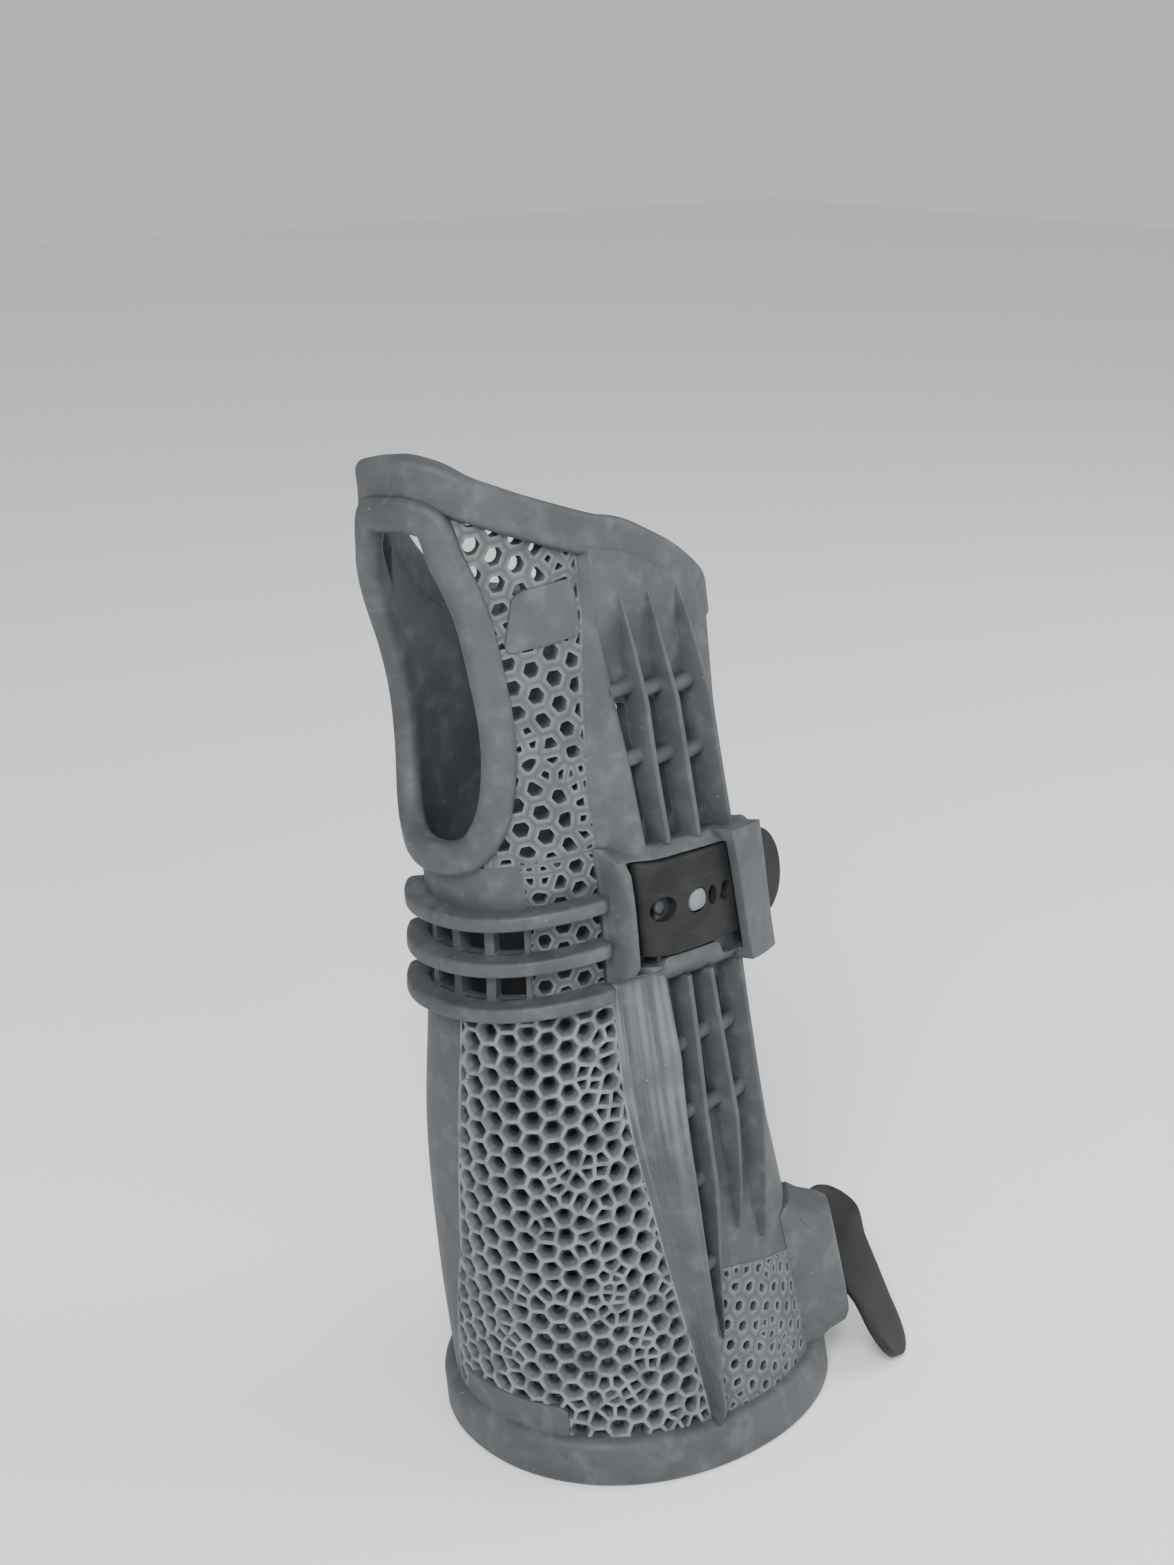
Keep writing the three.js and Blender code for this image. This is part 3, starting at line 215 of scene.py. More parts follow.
def turn_at_distance(turn, level, distance):
    steps = max(1, math.ceil(abs(distance) / 2))
    for _ in range(steps):
        turn = turn + distance / steps * degrees_per_mm(turn, level)
    return turn


def floor_level(turn, out):
    level = np.zeros_like(np.asarray(turn, float).ravel())
    for _ in range(4):
        spot = skin(turn, level, out)
        level = math.tan(math.radians(LEAN)) * (spot[:, 0] * LEAN_TOWARDS[0] + spot[:, 1] * LEAN_TOWARDS[1])
    return level.reshape(np.shape(turn))


def edge(table):
    return lambda level: np.interp(np.asarray(level, float) / LENGTH, table[:, 0], table[:, 1])


def flat(value):
    return lambda other: np.full(np.shape(other), float(value))


def even(out):
    """A face that lies equally far outwards everywhere."""
    return lambda turn, level: np.full_like(turn, out)


def strap_level(belt, turn):
    return belt[0] - belt[1] * np.asarray(turn, float)


def window_low(belt, turn):
    return strap_level(belt, turn) - STRAP_WIDTH / 2 - STRAP_PLAY


def window_high(belt, turn):
    return strap_level(belt, turn) + STRAP_WIDTH / 2 + FIT


def station_low(turn):
    return window_low(WRIST_BELT, turn) - STATION_BORDER


def station_high(turn):
    return window_high(WRIST_BELT, turn) + STATION_BORDER


def smoothstep(value, start, end):
    share = np.clip((value - start) / (end - start), 0, 1)
    return share**2 * (3 - 2 * share)


def cuff_edge(turn):
    return floor_level(turn, 0.0) + CUFF_RIM_HEIGHT


def hand_rim_level(turn):
    return np.interp(turn, HAND_RIM[:, 0], HAND_RIM[:, 1]) * LENGTH


def slit_right(level):
    level = np.asarray(level, float)
    turn = np.full(level.shape, SLIT_TURN)
    for _ in range(6):
        turn = turn + SLIT_WIDTH / 6 * degrees_per_mm(turn, level)
    return turn - 360


WRIST_LOW = float(station_low(STATION_LEFT))
WRIST_HIGH = float(station_high(STATION_LEFT))


def catmull(points, count, closed=False):
    """A smooth line through points, with count steps."""
    points = np.asarray(points, float)
    total = len(points) if closed else len(points) - 1
    out = []
    for share in np.arange(count + (0 if closed else 1)) / count * total:
        i = min(int(share), total - 1)
        t = share - i
        if closed:
            a, b, c, d = (points[(i + k) % len(points)] for k in (-1, 0, 1, 2))
        else:
            a, b, c, d = (points[min(max(i + k, 0), len(points) - 1)] for k in (-1, 0, 1, 2))
        out.append(0.5 * (2 * b + (c - a) * t + (2 * a - 5 * b + 4 * c - d) * t**2
                          + (3 * b - a - 3 * c + d) * t**3))
    return np.array(out)


# Materials

class Value:
    """A socket of a material's nodes. Operators on it add Math nodes."""

    def __init__(self, shader, socket):
        self.shader, self.socket = shader, socket

    def math(self, operation, other):
        return self.shader.node("ShaderNodeMath", {"operation": operation}, {0: self, 1: other})

    def __add__(self, other):
        return self.math("ADD", other)

    def __radd__(self, other):
        return self.math("ADD", other)

    def __sub__(self, other):
        return self.math("SUBTRACT", other)

    def __rsub__(self, other):
        return self.shader.node("ShaderNodeMath", {"operation": "SUBTRACT"}, {0: other, 1: self})

    def __mul__(self, other):
        return self.math("MULTIPLY", other)

    def __rmul__(self, other):
        return self.math("MULTIPLY", other)

    def clamp(self):
        return self.shader.node("ShaderNodeClamp", {}, {"Value": self, "Min": 0.0, "Max": 1.0})

    def ramp(self, start, end):
        """0 at start, 1 at end, smooth between."""
        return self.shader.node("ShaderNodeMapRange", {"interpolation_type": "SMOOTHSTEP"}, {
            "Value": self, "From Min": start, "From Max": end})


class Shader:
    """A material under construction."""

    def __init__(self, name):
        self.material = bpy.data.materials.new(name)
        self.material.use_nodes = True
        self.tree = self.material.node_tree
        self.surface = self.tree.nodes["Principled BSDF"]

    def node(self, kind, settings, sockets, output=0):
        made = self.tree.nodes.new(kind)
        for key, value in settings.items():
            setattr(made, key, value)
        for key, value in sockets.items():
            if isinstance(value, Value):
                self.tree.links.new(value.socket, made.inputs[key])
            else:
                made.inputs[key].default_value = value
        return Value(self, made.outputs[output])

    def place(self):
        return self.node("ShaderNodeTexCoord", {}, {}, "Object")

    def flow(self):
        """The piece's own map: millimetres round and along the brace, as metres."""
        return self.node("ShaderNodeUVMap", {"uv_map": "flow"}, {})

    def attribute(self, name):
        return self.node("ShaderNodeAttribute", {"attribute_name": name}, {}, "Fac")

    def noise(self, where, size, detail):
        """Soft noise whose blots are about size metres across."""
        return self.node("ShaderNodeTexNoise", {}, {
            "Vector": where, "Scale": 1 / size, "Detail": detail, "Roughness": 0.55})

    def stretch(self, where, by):
        return self.node("ShaderNodeVectorMath", {"operation": "MULTIPLY"}, {0: where, 1: by})

    def mix(self, share, a, b):
        colours = {}
        for key, value in ((6, a), (7, b)):
            colours[key] = value if isinstance(value, Value) else (*value, 1)
        return self.node("ShaderNodeMix", {"data_type": "RGBA"}, {0: share, **colours}, 2)

    def finish(self, colour, roughness, height=None, depth=0.0001, **sockets):
        links = self.tree.links
        links.new(colour.socket, self.surface.inputs["Base Color"])
        links.new(roughness.socket, self.surface.inputs["Roughness"])
        if height:
            bump = self.node("ShaderNodeBump", {}, {"Height": height, "Distance": depth, "Strength": 1.0})
            links.new(bump.socket, self.surface.inputs["Normal"])
        for name, value in sockets.items():
            self.surface.inputs[name.replace("_", " ")].default_value = value
        return self.material


GREY_DARK = (0.039, 0.044, 0.049)
GREY = (0.054, 0.061, 0.067)
GREY_LIGHT = (0.115, 0.128, 0.139)
GREY_RIDGE_LIGHT = (0.19, 0.205, 0.215)
GREY_STREAK = (0.15, 0.163, 0.173)
GREY_PAINTED_SHADE = (0.012, 0.013, 0.014)
GREY_SPECK = (0.4, 0.42, 0.43)
RUBBER_DARK, RUBBER_WORN = (0.0085, 0.0088, 0.0092), (0.018, 0.0186, 0.0193)
RUBBER_SCUFF = (0.046, 0.047, 0.048)
PEG_DARK, PEG_LIGHT = (0.085, 0.096, 0.108), (0.15, 0.166, 0.182)


def printed(name, ridges=False, strips=False):
    """Dark grey printed nylon: soft mottling, faint layers, fine grain and a few pale specks. On the comb, a
    painted highlight lies on the ridges and painted shade in the funnels and holes.
    """
    s = Shader(name)
    where = s.place()
    mottle = s.noise(where, 0.018, 4)
    blotch = s.noise(where, 0.005, 3)
    grain = s.noise(where, 0.00045, 2)
    layers = s.noise(s.stretch(where, (0.03, 0.03, 1.0)), 0.0009, 2)
    colour = s.mix(mottle.ramp(0.3, 0.7), GREY_DARK, GREY)
    colour = s.mix(blotch.ramp(0.45, 0.75) * 0.35, colour, GREY_LIGHT)
    height = grain * 0.5 + layers * 0.6
    rough = 0.5 + grain * 0.12 + mottle * 0.08
    if strips:
        flow = s.flow()
        bands = s.noise(s.stretch(flow, (1.0, 0.01, 0.0)), 0.0011, 1)
        fine = s.noise(s.stretch(flow, (1.0, 0.012, 0.0)), 0.0006, 2)
        patch = s.noise(s.stretch(flow, (0.25, 1.0, 0.0)), 0.024, 2)
        low_end = s.node("ShaderNodeSeparateXYZ", {}, {0: flow}, 1).ramp(0.03, 0.11)
        bands = bands * (0.3 + low_end * 0.7)
        streak = low_end * (bands.ramp(0.42, 0.58) * (0.15 + patch.ramp(0.35, 0.55) * 0.45)).clamp()
        colour = s.mix(streak, colour, GREY_STREAK)
        colour = s.mix(fine.ramp(0.5, 0.75) * 0.3, colour, GREY_LIGHT)
        height = height + bands + fine * 0.6
        rough = rough - streak * 0.1
    # The comb's ridges carry a painted highlight in the lighter grey, broken into patches by noise.
    if ridges:
        ridge_light = s.attribute("ridge")
        patchiness = s.noise(where, 0.0035, 3).ramp(0.35, 0.6)
        colour = s.mix((ridge_light * (0.35 + patchiness * 0.65)).clamp(), colour, GREY_RIDGE_LIGHT)
        # Painted shade darkens the funnels, the holes and the panel's inner face.
        painted_shade = s.attribute("painted_shade")
        colour = s.mix((painted_shade * 0.85).clamp(), colour, GREY_PAINTED_SHADE)
    specks = s.node("ShaderNodeTexVoronoi", {}, {"Vector": where, "Scale": 620.0, "Randomness": 1.0})
    sparse = s.noise(where, 0.0022, 1).ramp(0.66, 0.74)
    dots = (1 - specks.ramp(0.06, 0.16)) * sparse
    colour = s.mix(dots * 0.7, colour, GREY_SPECK)
    return s.finish(colour, rough.clamp(), height, 0.00006, Specular_IOR_Level=0.38)


def rubber(name):
    """Charcoal rubber, worn a little shiny, with fine scuffs along it."""
    s = Shader(name)
    where = s.place()
    flow = s.flow()
    wear = s.noise(where, 0.009, 4)
    scuff = s.noise(s.stretch(flow, (0.12, 1.0, 0.0)), 0.0008, 3)
    grain = s.noise(where, 0.0005, 2)
    colour = s.mix(wear.ramp(0.3, 0.75), RUBBER_DARK, RUBBER_WORN)
    colour = s.mix(scuff.ramp(0.58, 0.8) * 0.35, colour, RUBBER_SCUFF)
    rough = 0.5 + wear * 0.2 + grain * 0.08
    return s.finish(colour, rough.clamp(), scuff * 0.6 + grain * 0.5, 0.00005, Specular_IOR_Level=0.22)


def peg_plastic(name):
    """Mid-grey plastic, a little worn."""
    s = Shader(name)
    where = s.place()
    wear = s.noise(where, 0.002, 3)
    colour = s.mix(wear.ramp(0.3, 0.7), PEG_DARK, PEG_LIGHT)
    return s.finish(colour, 0.4 + wear * 0.2, s.noise(where, 0.0004, 2), 0.00004)


PRINTED = printed("printed_nylon")
COMB = printed("printed_nylon_comb", ridges=True)
STRIP = printed("printed_nylon_strip", strips=True)
RUBBER = rubber("strap_rubber")
PEG = peg_plastic("peg_plastic")


# Meshes

def mesh_object(name, points, faces, material, flow=None, marks=None):
    """An object from points in metres. flow is the map's two numbers a point, in metres."""
    mesh = bpy.data.meshes.new(name)
    mesh.from_pydata([tuple(p) for p in points], [], [tuple(f) for f in faces])
    mesh.materials.append(material)
    mesh.validate()
    if flow is not None:
        layer = mesh.uv_layers.new(name="flow")
        index = np.empty(len(mesh.loops), int)
        mesh.loops.foreach_get("vertex_index", index)
        layer.data.foreach_set("uv", np.asarray(flow, float)[index].ravel())
    for key, values in (marks or {}).items():
        mesh.attributes.new(key, "FLOAT", "POINT").data.foreach_set("value", np.asarray(values, float))
    made = bpy.data.objects.new(name, mesh)
    bpy.context.scene.collection.objects.link(made)
    mesh.shade_smooth()
    return made


def clean(made, weld=1e-6):
    """Merges doubles and points the faces outwards."""
    work = bmesh.new()
    work.from_mesh(made.data)
    bmesh.ops.remove_doubles(work, verts=work.verts, dist=weld)
    bmesh.ops.recalc_face_normals(work, faces=work.faces)
    work.to_mesh(made.data)
    work.free()
    return made


def baked(made):
    """Turns the modifiers' result into the object's plain mesh."""
    bpy.context.view_layer.update()
    mesh = bpy.data.meshes.new_from_object(made.evaluated_get(bpy.context.evaluated_depsgraph_get()))
    made.modifiers.clear()
    old = made.data
    made.data = mesh
    bpy.data.meshes.remove(old)
    mesh.name = made.name
    return made


def cut(made, cutters):
    """Takes the cutters out of a solid, and removes them."""
    joined = join("cutter", cutters) if len(cutters) > 1 else cutters[0]
    modifier = made.modifiers.new("cut", "BOOLEAN")
    modifier.operation, modifier.solver, modifier.object = "DIFFERENCE", "EXACT", joined
    modifier.use_self = len(cutters) > 1
    baked(made)
    bpy.data.objects.remove(joined)
    return made


def join(name, objects):
    """One object of several, each with its material."""
    first = objects[0]
    with bpy.context.temp_override(active_object=first, selected_editable_objects=objects):
        bpy.ops.object.join()
    first.name = first.data.name = name
    return first


BEVEL_ANGLE = 38


def rounded(made, width, segments):
    """Rounds the edges that are sharper than the bevel's angle."""
    modifier = made.modifiers.new("edges", "BEVEL")
    modifier.width, modifier.segments = width * MM, segments
    modifier.limit_method, modifier.angle_limit = "ANGLE", math.radians(BEVEL_ANGLE)
    modifier.use_clamp_overlap = True
    modifier.harden_normals = False
    baked(made)
    made.data.shade_smooth()
    return made


def crisp(made, angle=35):
    """Shades smooth, with edges sharper than angle left sharp."""
    made.data.shade_smooth()
    made.data.set_sharp_from_angle(angle=math.radians(angle))
    return made


def closed_grid(count_u, count_v):
    """Faces of a closed slab: a grid of inner points, then as many outer ones."""
    size = (count_u + 1) * (count_v + 1)
    j, i = np.mgrid[0:count_v, 0:count_u]
    a = (j * (count_u + 1) + i).ravel()
    b, c, d = a + 1, a + count_u + 2, a + count_u + 1
    faces = [*zip(a + size, b + size, c + size, d + size), *zip(a, d, c, b)]
    for i in range(count_u):
        low, high = i, count_v * (count_u + 1) + i
        faces += [(low, low + 1, low + 1 + size, low + size),
                  (high + 1, high, high + size, high + 1 + size)]
    for j in range(count_v):
        near, far = j * (count_u + 1), j * (count_u + 1) + count_u
        faces += [(near + count_u + 1, near, near + size, near + count_u + 1 + size),
                  (far, far + count_u + 1, far + count_u + 1 + size, far + size)]
    return faces


def sheet(name, left, right, low, high, across, along, material, inner=-WALL, outer=None):
    """A piece of the shell between two edges given as turns and two given as levels."""
    v, u = (g.ravel() for g in np.meshgrid(np.linspace(0, 1, along + 1), np.linspace(0, 1, across + 1),
                                           indexing="ij"))
    level = low(np.zeros_like(u)) * (1 - v) + high(np.zeros_like(u)) * v
    turn = np.zeros_like(u)
    for _ in range(8):
        start, end = left(level), right(level)
        turn = start + (end - start) * u
        bottom, top = low(turn), high(turn)
        level = bottom + (top - bottom) * v
    lift = outer(turn, level) if outer else np.zeros_like(u)
    points = np.concatenate([place(turn, level, inner), place(turn, level, lift)])
    width = float(np.mean((end - start) / degrees_per_mm(turn, level)))
    flow = np.tile(np.column_stack([u * width, level]) * MM, (2, 1))
    return clean(mesh_object(name, points, closed_grid(across, along), material, flow=flow))


def loft(name, rings, material, flow=None):
    """A capped solid through rings of as many points each, in metres."""
    rings = np.asarray(rings)
    count, size = rings.shape[:2]
    faces = []
    for j in range(count - 1):
        here, there = j * size, (j + 1) * size
        faces += [(here + i, here + (i + 1) % size, there + (i + 1) % size, there + i) for i in range(size)]
    faces += [tuple(range(size))[::-1], tuple(range((count - 1) * size, count * size))]
    return clean(mesh_object(name, rings.reshape(-1, 3), faces, material, flow=flow))


def from_lines(name, lines, material=PRINTED, flow=None):
    """A capped solid from the lines that run along it, one for each corner of its section."""
    return loft(name, np.swapaxes(np.array(lines), 0, 1), material, flow)


def plug(loop, inner, outer, material=PRINTED):
    """A cutter through the shell along a loop of turns and levels."""
    turn, level = np.asarray(loop, float).T
    return loft("cutter", [place(turn, level, inner), place(turn, level, outer)], material)


def corner_inset(corner, end):
    """How far a rounded corner draws a side in, at end millimetres from the side's end."""
    return corner - np.sqrt(np.clip(corner**2 - np.clip(corner - end, 0, corner) ** 2, 0, None))


def window(left, right, low, high, corner):
    """A loop between two turns and two levels, with its corners rounded by corner millimetres."""
    rise = np.linspace(low, high, 40)
    inset = corner_inset(corner, np.minimum(rise - low, high - rise))
    lefts = left(rise) + inset * degrees_per_mm(left(rise), rise)
    rights = right(rise) - inset * degrees_per_mm(right(rise), rise)
    return [*zip(rights, rise), *zip(lefts[::-1], rise[::-1])]


# A rounded section swept along a guide line

def sweep_tree():
    """Sweeps a rounded rectangle along a guide, whose own mark says which way is up at each point."""
    tree = bpy.data.node_groups.new("swept_band", "GeometryNodeTree")
    face = tree.interface
    face.new_socket("Geometry", in_out="INPUT", socket_type="NodeSocketGeometry")
    for name, kind, value in (
        ("Thickness", "NodeSocketFloat", 0.002), ("Width", "NodeSocketFloat", 0.002),
        ("Corner", "NodeSocketFloat", 0.0005), ("Corner Steps", "NodeSocketInt", 4),
        ("Material", "NodeSocketMaterial", None),
    ):
        socket = face.new_socket(name, in_out="INPUT", socket_type=kind)
        if value is not None:
            socket.default_value = value
    face.new_socket("Geometry", in_out="OUTPUT", socket_type="NodeSocketGeometry")

    def node(kind, settings, sockets):
        made = tree.nodes.new(kind)
        for key, value in settings.items():
            setattr(made, key, value)
        for key, value in sockets.items():
            if isinstance(value, bpy.types.NodeSocket):
                tree.links.new(value, made.inputs[key])
            else:
                made.inputs[key].default_value = value
        return made.outputs[0]

    group = tree.nodes.new("NodeGroupInput")
    inputs = {socket.name: socket for socket in group.outputs}
    up = node("GeometryNodeInputNamedAttribute", {"data_type": "FLOAT_VECTOR"}, {"Name": "up"})
    line = node("GeometryNodeMeshToCurve", {}, {"Mesh": inputs["Geometry"]})
    line = node("GeometryNodeSetCurveNormal", {"mode": "FREE"}, {"Curve": line, "Normal": up})
    outline = node("GeometryNodeCurvePrimitiveQuadrilateral", {"mode": "RECTANGLE"}, {
        "Width": inputs["Thickness"], "Height": inputs["Width"]})
    outline = node("GeometryNodeFilletCurve", {"mode": "POLY"}, {
        "Curve": outline, "Radius": inputs["Corner"], "Count": inputs["Corner Steps"],
        "Limit Radius": True})
    band = node("GeometryNodeCurveToMesh", {}, {
        "Curve": line, "Profile Curve": outline, "Fill Caps": True})
    band = node("GeometryNodeRealizeInstances", {}, {"Geometry": band})
    band = node("GeometryNodeSetMaterial", {}, {"Geometry": band, "Material": inputs["Material"]})
    band = node("GeometryNodeSetShadeSmooth", {}, {"Geometry": band, "Shade Smooth": True})
    tree.links.new(band, tree.nodes.new("NodeGroupOutput").inputs[0])
    return tree


SWEEP = sweep_tree()
CORNER_STEPS = 6


def sweep(name, guides, thickness, width, corner):
    """Swept bands along guides. A guide is (points, ups, closed), in metres."""
    points, ups, edges = [], [], []
    for line, up, closed in guides:
        start = len(points)
        points += [tuple(p) for p in line]
        ups += [tuple(p) for p in up]
        edges += [(start + i, start + i + 1) for i in range(len(line) - 1)]
        if closed:
            edges.append((start + len(line) - 1, start))
    mesh = bpy.data.meshes.new(name)
    mesh.from_pydata(points, edges, [])
    mesh.attributes.new("up", "FLOAT_VECTOR", "POINT").data.foreach_set("vector", np.ravel(ups))
    made = bpy.data.objects.new(name, mesh)
    bpy.context.scene.collection.objects.link(made)
    modifier = made.modifiers.new("sweep", "NODES")
    modifier.node_group = SWEEP
    values = {"Thickness": thickness * MM, "Width": width * MM, "Corner": corner * MM,
              "Corner Steps": CORNER_STEPS, "Material": PRINTED}
    for item in SWEEP.interface.items_tree:
        if item.item_type == "SOCKET" and item.in_out == "INPUT" and item.name in values:
            modifier[item.identifier] = values[item.name]
    baked(made)
    return clean(made)


def guide(turn, level, out, closed=False):
    """A guide on the shell for a sweep, from turns, levels and distances outwards."""
    turn, level, out = (np.asarray(v, float).ravel() for v in np.broadcast_arrays(turn, level, out))
    return place(turn, level, out), outwards(turn, level), closed


# Pieces

def keep(made, *nodes, slot="printed"):
    """The piece rides on the brace's body and stands for its solids."""
    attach(made, "root")
    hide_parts(*nodes)
    made.name = made.data.name = f"{nodes[0]}_look"
    return made


# Rims
hand_turns = np.linspace(float(slit_right(0.804 * LENGTH)), SLIT_TURN, 260)
hand_line = catmull(HAND_RIM, 400)
hand_levels = np.interp(hand_turns, hand_line[:, 0], hand_line[:, 1]) * LENGTH


def proud(turn):
    """How far the hand rim stands out: little on the little finger's side."""
    return RIM_PROUD * (1 - 0.8 * smoothstep(turn, -14.0, 36.0))


def plate_rise(turn, level):
    """The back of the hand swells from the channels' floor to the rim."""
    end = hand_rim_level(turn) - HAND_RIM_WIDTH / 2
    return proud(turn) * smoothstep(level, end - HAND_PLATE, end)


def band(name, turns, levels, width, top, bottom, corner):
    """A band along the shell with rounded corners, whose top changes along it."""
    base, up = place(turns, levels), outwards(turns, levels)
    across = unit(np.cross(up, unit(np.gradient(base, axis=0))))
    lines = []
    for quarter, (side, rise) in enumerate(((1, 1), (-1, 1), (-1, -1), (1, -1))):
        middle = top - corner if rise > 0 else np.full(len(turns), bottom + corner)
        for angle in np.linspace(quarter, quarter + 1, CORNER_STEPS) * math.pi / 2:
            lines.append(base + across * ((side * (width / 2 - corner) + corner * math.cos(angle)) * MM)
                         + up * ((middle + corner * math.sin(angle)) * MM)[:, None])
    return from_lines(name, lines)


keep(band("hand_rim", hand_turns, hand_levels, HAND_RIM_WIDTH - FIT, proud(hand_turns), -WALL,
          HAND_RIM_CORNER), "hand_rim")

thumb_line = catmull(THUMB_RIM, 220, closed=True)
crown = hand_rim_level(thumb_line[:, 0]) - (HAND_RIM_WIDTH + THUMB_RIM_WIDTH) / 2 + 5 * FIT
thumb_levels = thumb_line[:, 1] * LENGTH
thumb_levels = thumb_levels + smoothstep(thumb_levels, crown - 7, crown - 2) * (crown - thumb_levels)
thumb_levels = np.minimum(thumb_levels, crown)
thumb_guide = guide(thumb_line[:, 0], thumb_levels, RIM_PROUD - RIM_THICKNESS / 2, closed=True)
keep(sweep("thumb_rim", [thumb_guide], RIM_THICKNESS, THUMB_RIM_WIDTH - FIT, THUMB_RIM_CORNER), "thumb_rim")

# The cuff's band, cut flat by the floor
cuff_turns = np.linspace(float(slit_right(0.0)), SLIT_TURN, 240)
cuff_top = cuff_edge(cuff_turns)
profile = []
for out, rise in ((-WALL, 0.0), (RIM_PROUD * 0.4, 0.0), (RIM_PROUD * 0.8, 0.5), (RIM_PROUD, 1.4)):
    profile.append(place(cuff_turns, floor_level(cuff_turns, out) + rise, out))
for out, drop in ((RIM_PROUD, 4.0), (RIM_PROUD, 2.6), (RIM_PROUD * 0.9, 1.5), (RIM_PROUD * 0.7, 0.7),
                  (RIM_PROUD * 0.35, 0.2), (-0.2, 0.0), (-WALL, 0.0)):
    profile.append(place(cuff_turns, cuff_top - drop, out))
keep(crisp(from_lines("cuff_rim", profile), 50), "cuff_rim")

# Plain shell on the sides that the slit divides
forearm_left, forearm_right = edge(FOREARM_MESH_LEFT), edge(FOREARM_MESH_RIGHT)
hand_right = edge(HAND_MESH_RIGHT)
TUCK = 2.0


def below_hand_rim(turn):
    """The panels' upper ends, tucked under the hand rim."""
    return np.interp(turn, hand_line[:, 0], hand_line[:, 1]) * LENGTH - HAND_RIM_WIDTH / 2 + TUCK


def under_cuff(turn):
    """The panels' lower ends, tucked behind the cuff rim."""
    return cuff_edge(turn) - TUCK


thumb_loop = np.column_stack([thumb_line[:, 0], thumb_levels])


def thumb_cutter():
    return plug(thumb_loop, -HAND_DEPTH / 4, HAND_DEPTH / 2)


keep(crisp(sheet("ulnar_forearm_panel", flat(STATION_RIGHT), flat(SLIT_TURN), under_cuff, flat(WRIST_LOW),
                 60, 90, PRINTED)), "ulnar_forearm_panel")
keep(crisp(sheet("ulnar_hand_panel", flat(STATION_RIGHT), flat(SLIT_TURN), flat(WRIST_LOW), below_hand_rim,
                 60, 70, PRINTED)), "ulnar_hand_panel")
keep(crisp(sheet("volar_forearm_panel", slit_right, forearm_left, under_cuff, flat(WRIST_LOW),
                 110, 90, PRINTED)), "volar_forearm_panel")
palm = sheet("palm_panel", slit_right, flat(PALM_TURN), flat(WRIST_LOW), below_hand_rim, 90, 80, PRINTED)
keep(crisp(cut(palm, [thumb_cutter()])), "palm_panel")


# Honeycomb

# Distances round the shell from one turn, which lay the honeycomb out on a plane
ARC_STEP, ARC_MIDDLE = 3.0, -50.0
ARC_TURNS = np.arange(-260.0, 131.0, 1.0)
ARC_LEVELS = np.arange(0.0, 262.0, ARC_STEP)
arc_grid = []
for arc_level in ARC_LEVELS:
    ring = skin(ARC_TURNS, arc_level)
    length = np.concatenate([[0], np.cumsum(np.linalg.norm(np.diff(ring, axis=0), axis=1))])
    arc_grid.append(length - np.interp(ARC_MIDDLE, ARC_TURNS, length))
arc_grid = np.array(arc_grid)


def arc_row(level):
    at = np.clip(level / ARC_STEP, 0, len(ARC_LEVELS) - 1.001)
    row, share = int(at), at - int(at)
    return arc_grid[row] * (1 - share) + arc_grid[row + 1] * share


def to_plane(turn, level):
    return np.array([np.interp(t, ARC_TURNS, arc_row(l)) for t, l in zip(turn, level)])


def from_plane(distance, level):
    return np.array([np.interp(d, arc_row(l), ARC_TURNS) for d, l in zip(distance, level)])


def clip_half(polygon, point, normal):
    """The part of a polygon on the side of a line that its normal points away from."""
    side = (polygon - point) @ normal
    out = []
    for i in range(len(polygon)):
        j = (i + 1) % len(polygon)
        if side[i] <= 0:
            out.append(polygon[i])
        if (side[i] < 0 < side[j]) or (side[j] < 0 < side[i]):
            share = side[i] / (side[i] - side[j])
            out.append(polygon[i] + (polygon[j] - polygon[i]) * share)
    return np.array(out)


def inside(point, polygon):
    x, y = point
    x0, y0 = polygon[:, 0], polygon[:, 1]
    x1, y1 = np.roll(x0, -1), np.roll(y0, -1)
    crosses = (y0 > y) != (y1 > y)
    safe = np.where(y1 == y0, 1e-9, y1 - y0)
    return bool(np.sum(crosses & (x < (x1 - x0) * (y - y0) / safe + x0)) % 2)


def area(polygon):
    """A polygon's area, below 0 when it runs clockwise."""
    x, y = polygon.T
    return 0.5 * (np.dot(x, np.roll(y, -1)) - np.dot(y, np.roll(x, -1)))


def anticlockwise(polygon):
    return polygon[::-1] if area(polygon) < 0 else polygon


COMB_OUT = 0.12
FUNNEL_DEPTH, PIT_DEPTH = 1.5, 0.75
SMALLEST_CELL, BLIND_RADIUS, BLIND_AREA = 0.35, 1.15, 7.5


def comb_seeds(region, pitch, clusters, rng):
    """Middles of the cells: columns along the forearm, some broken up into clusters of small cells."""
    low, high = region.min(0) - 2 * pitch, region.max(0) + 2 * pitch
    seeds = []
    column = 0
    x = low[0]
    while x < high[0]:
        y = low[1] + (column % 2) * pitch / 2
        while y < high[1]:
            centre = np.array([x + rng.uniform(-0.28, 0.28), y + rng.uniform(-0.28, 0.28)])
            if rng.random() < clusters(centre):
                turn = rng.uniform(0, 2 * math.pi)
                count = rng.choice((3, 4))
                for k in range(count):
                    way = turn + k * 2 * math.pi / count + rng.uniform(-0.35, 0.35)
                    seeds.append(centre + rng.uniform(1.35, 2.1) * np.array([math.cos(way), math.sin(way)]))
            else:
                seeds.append(centre)
            y += pitch
        x += pitch * 0.87
        column += 1
    return np.array(seeds)


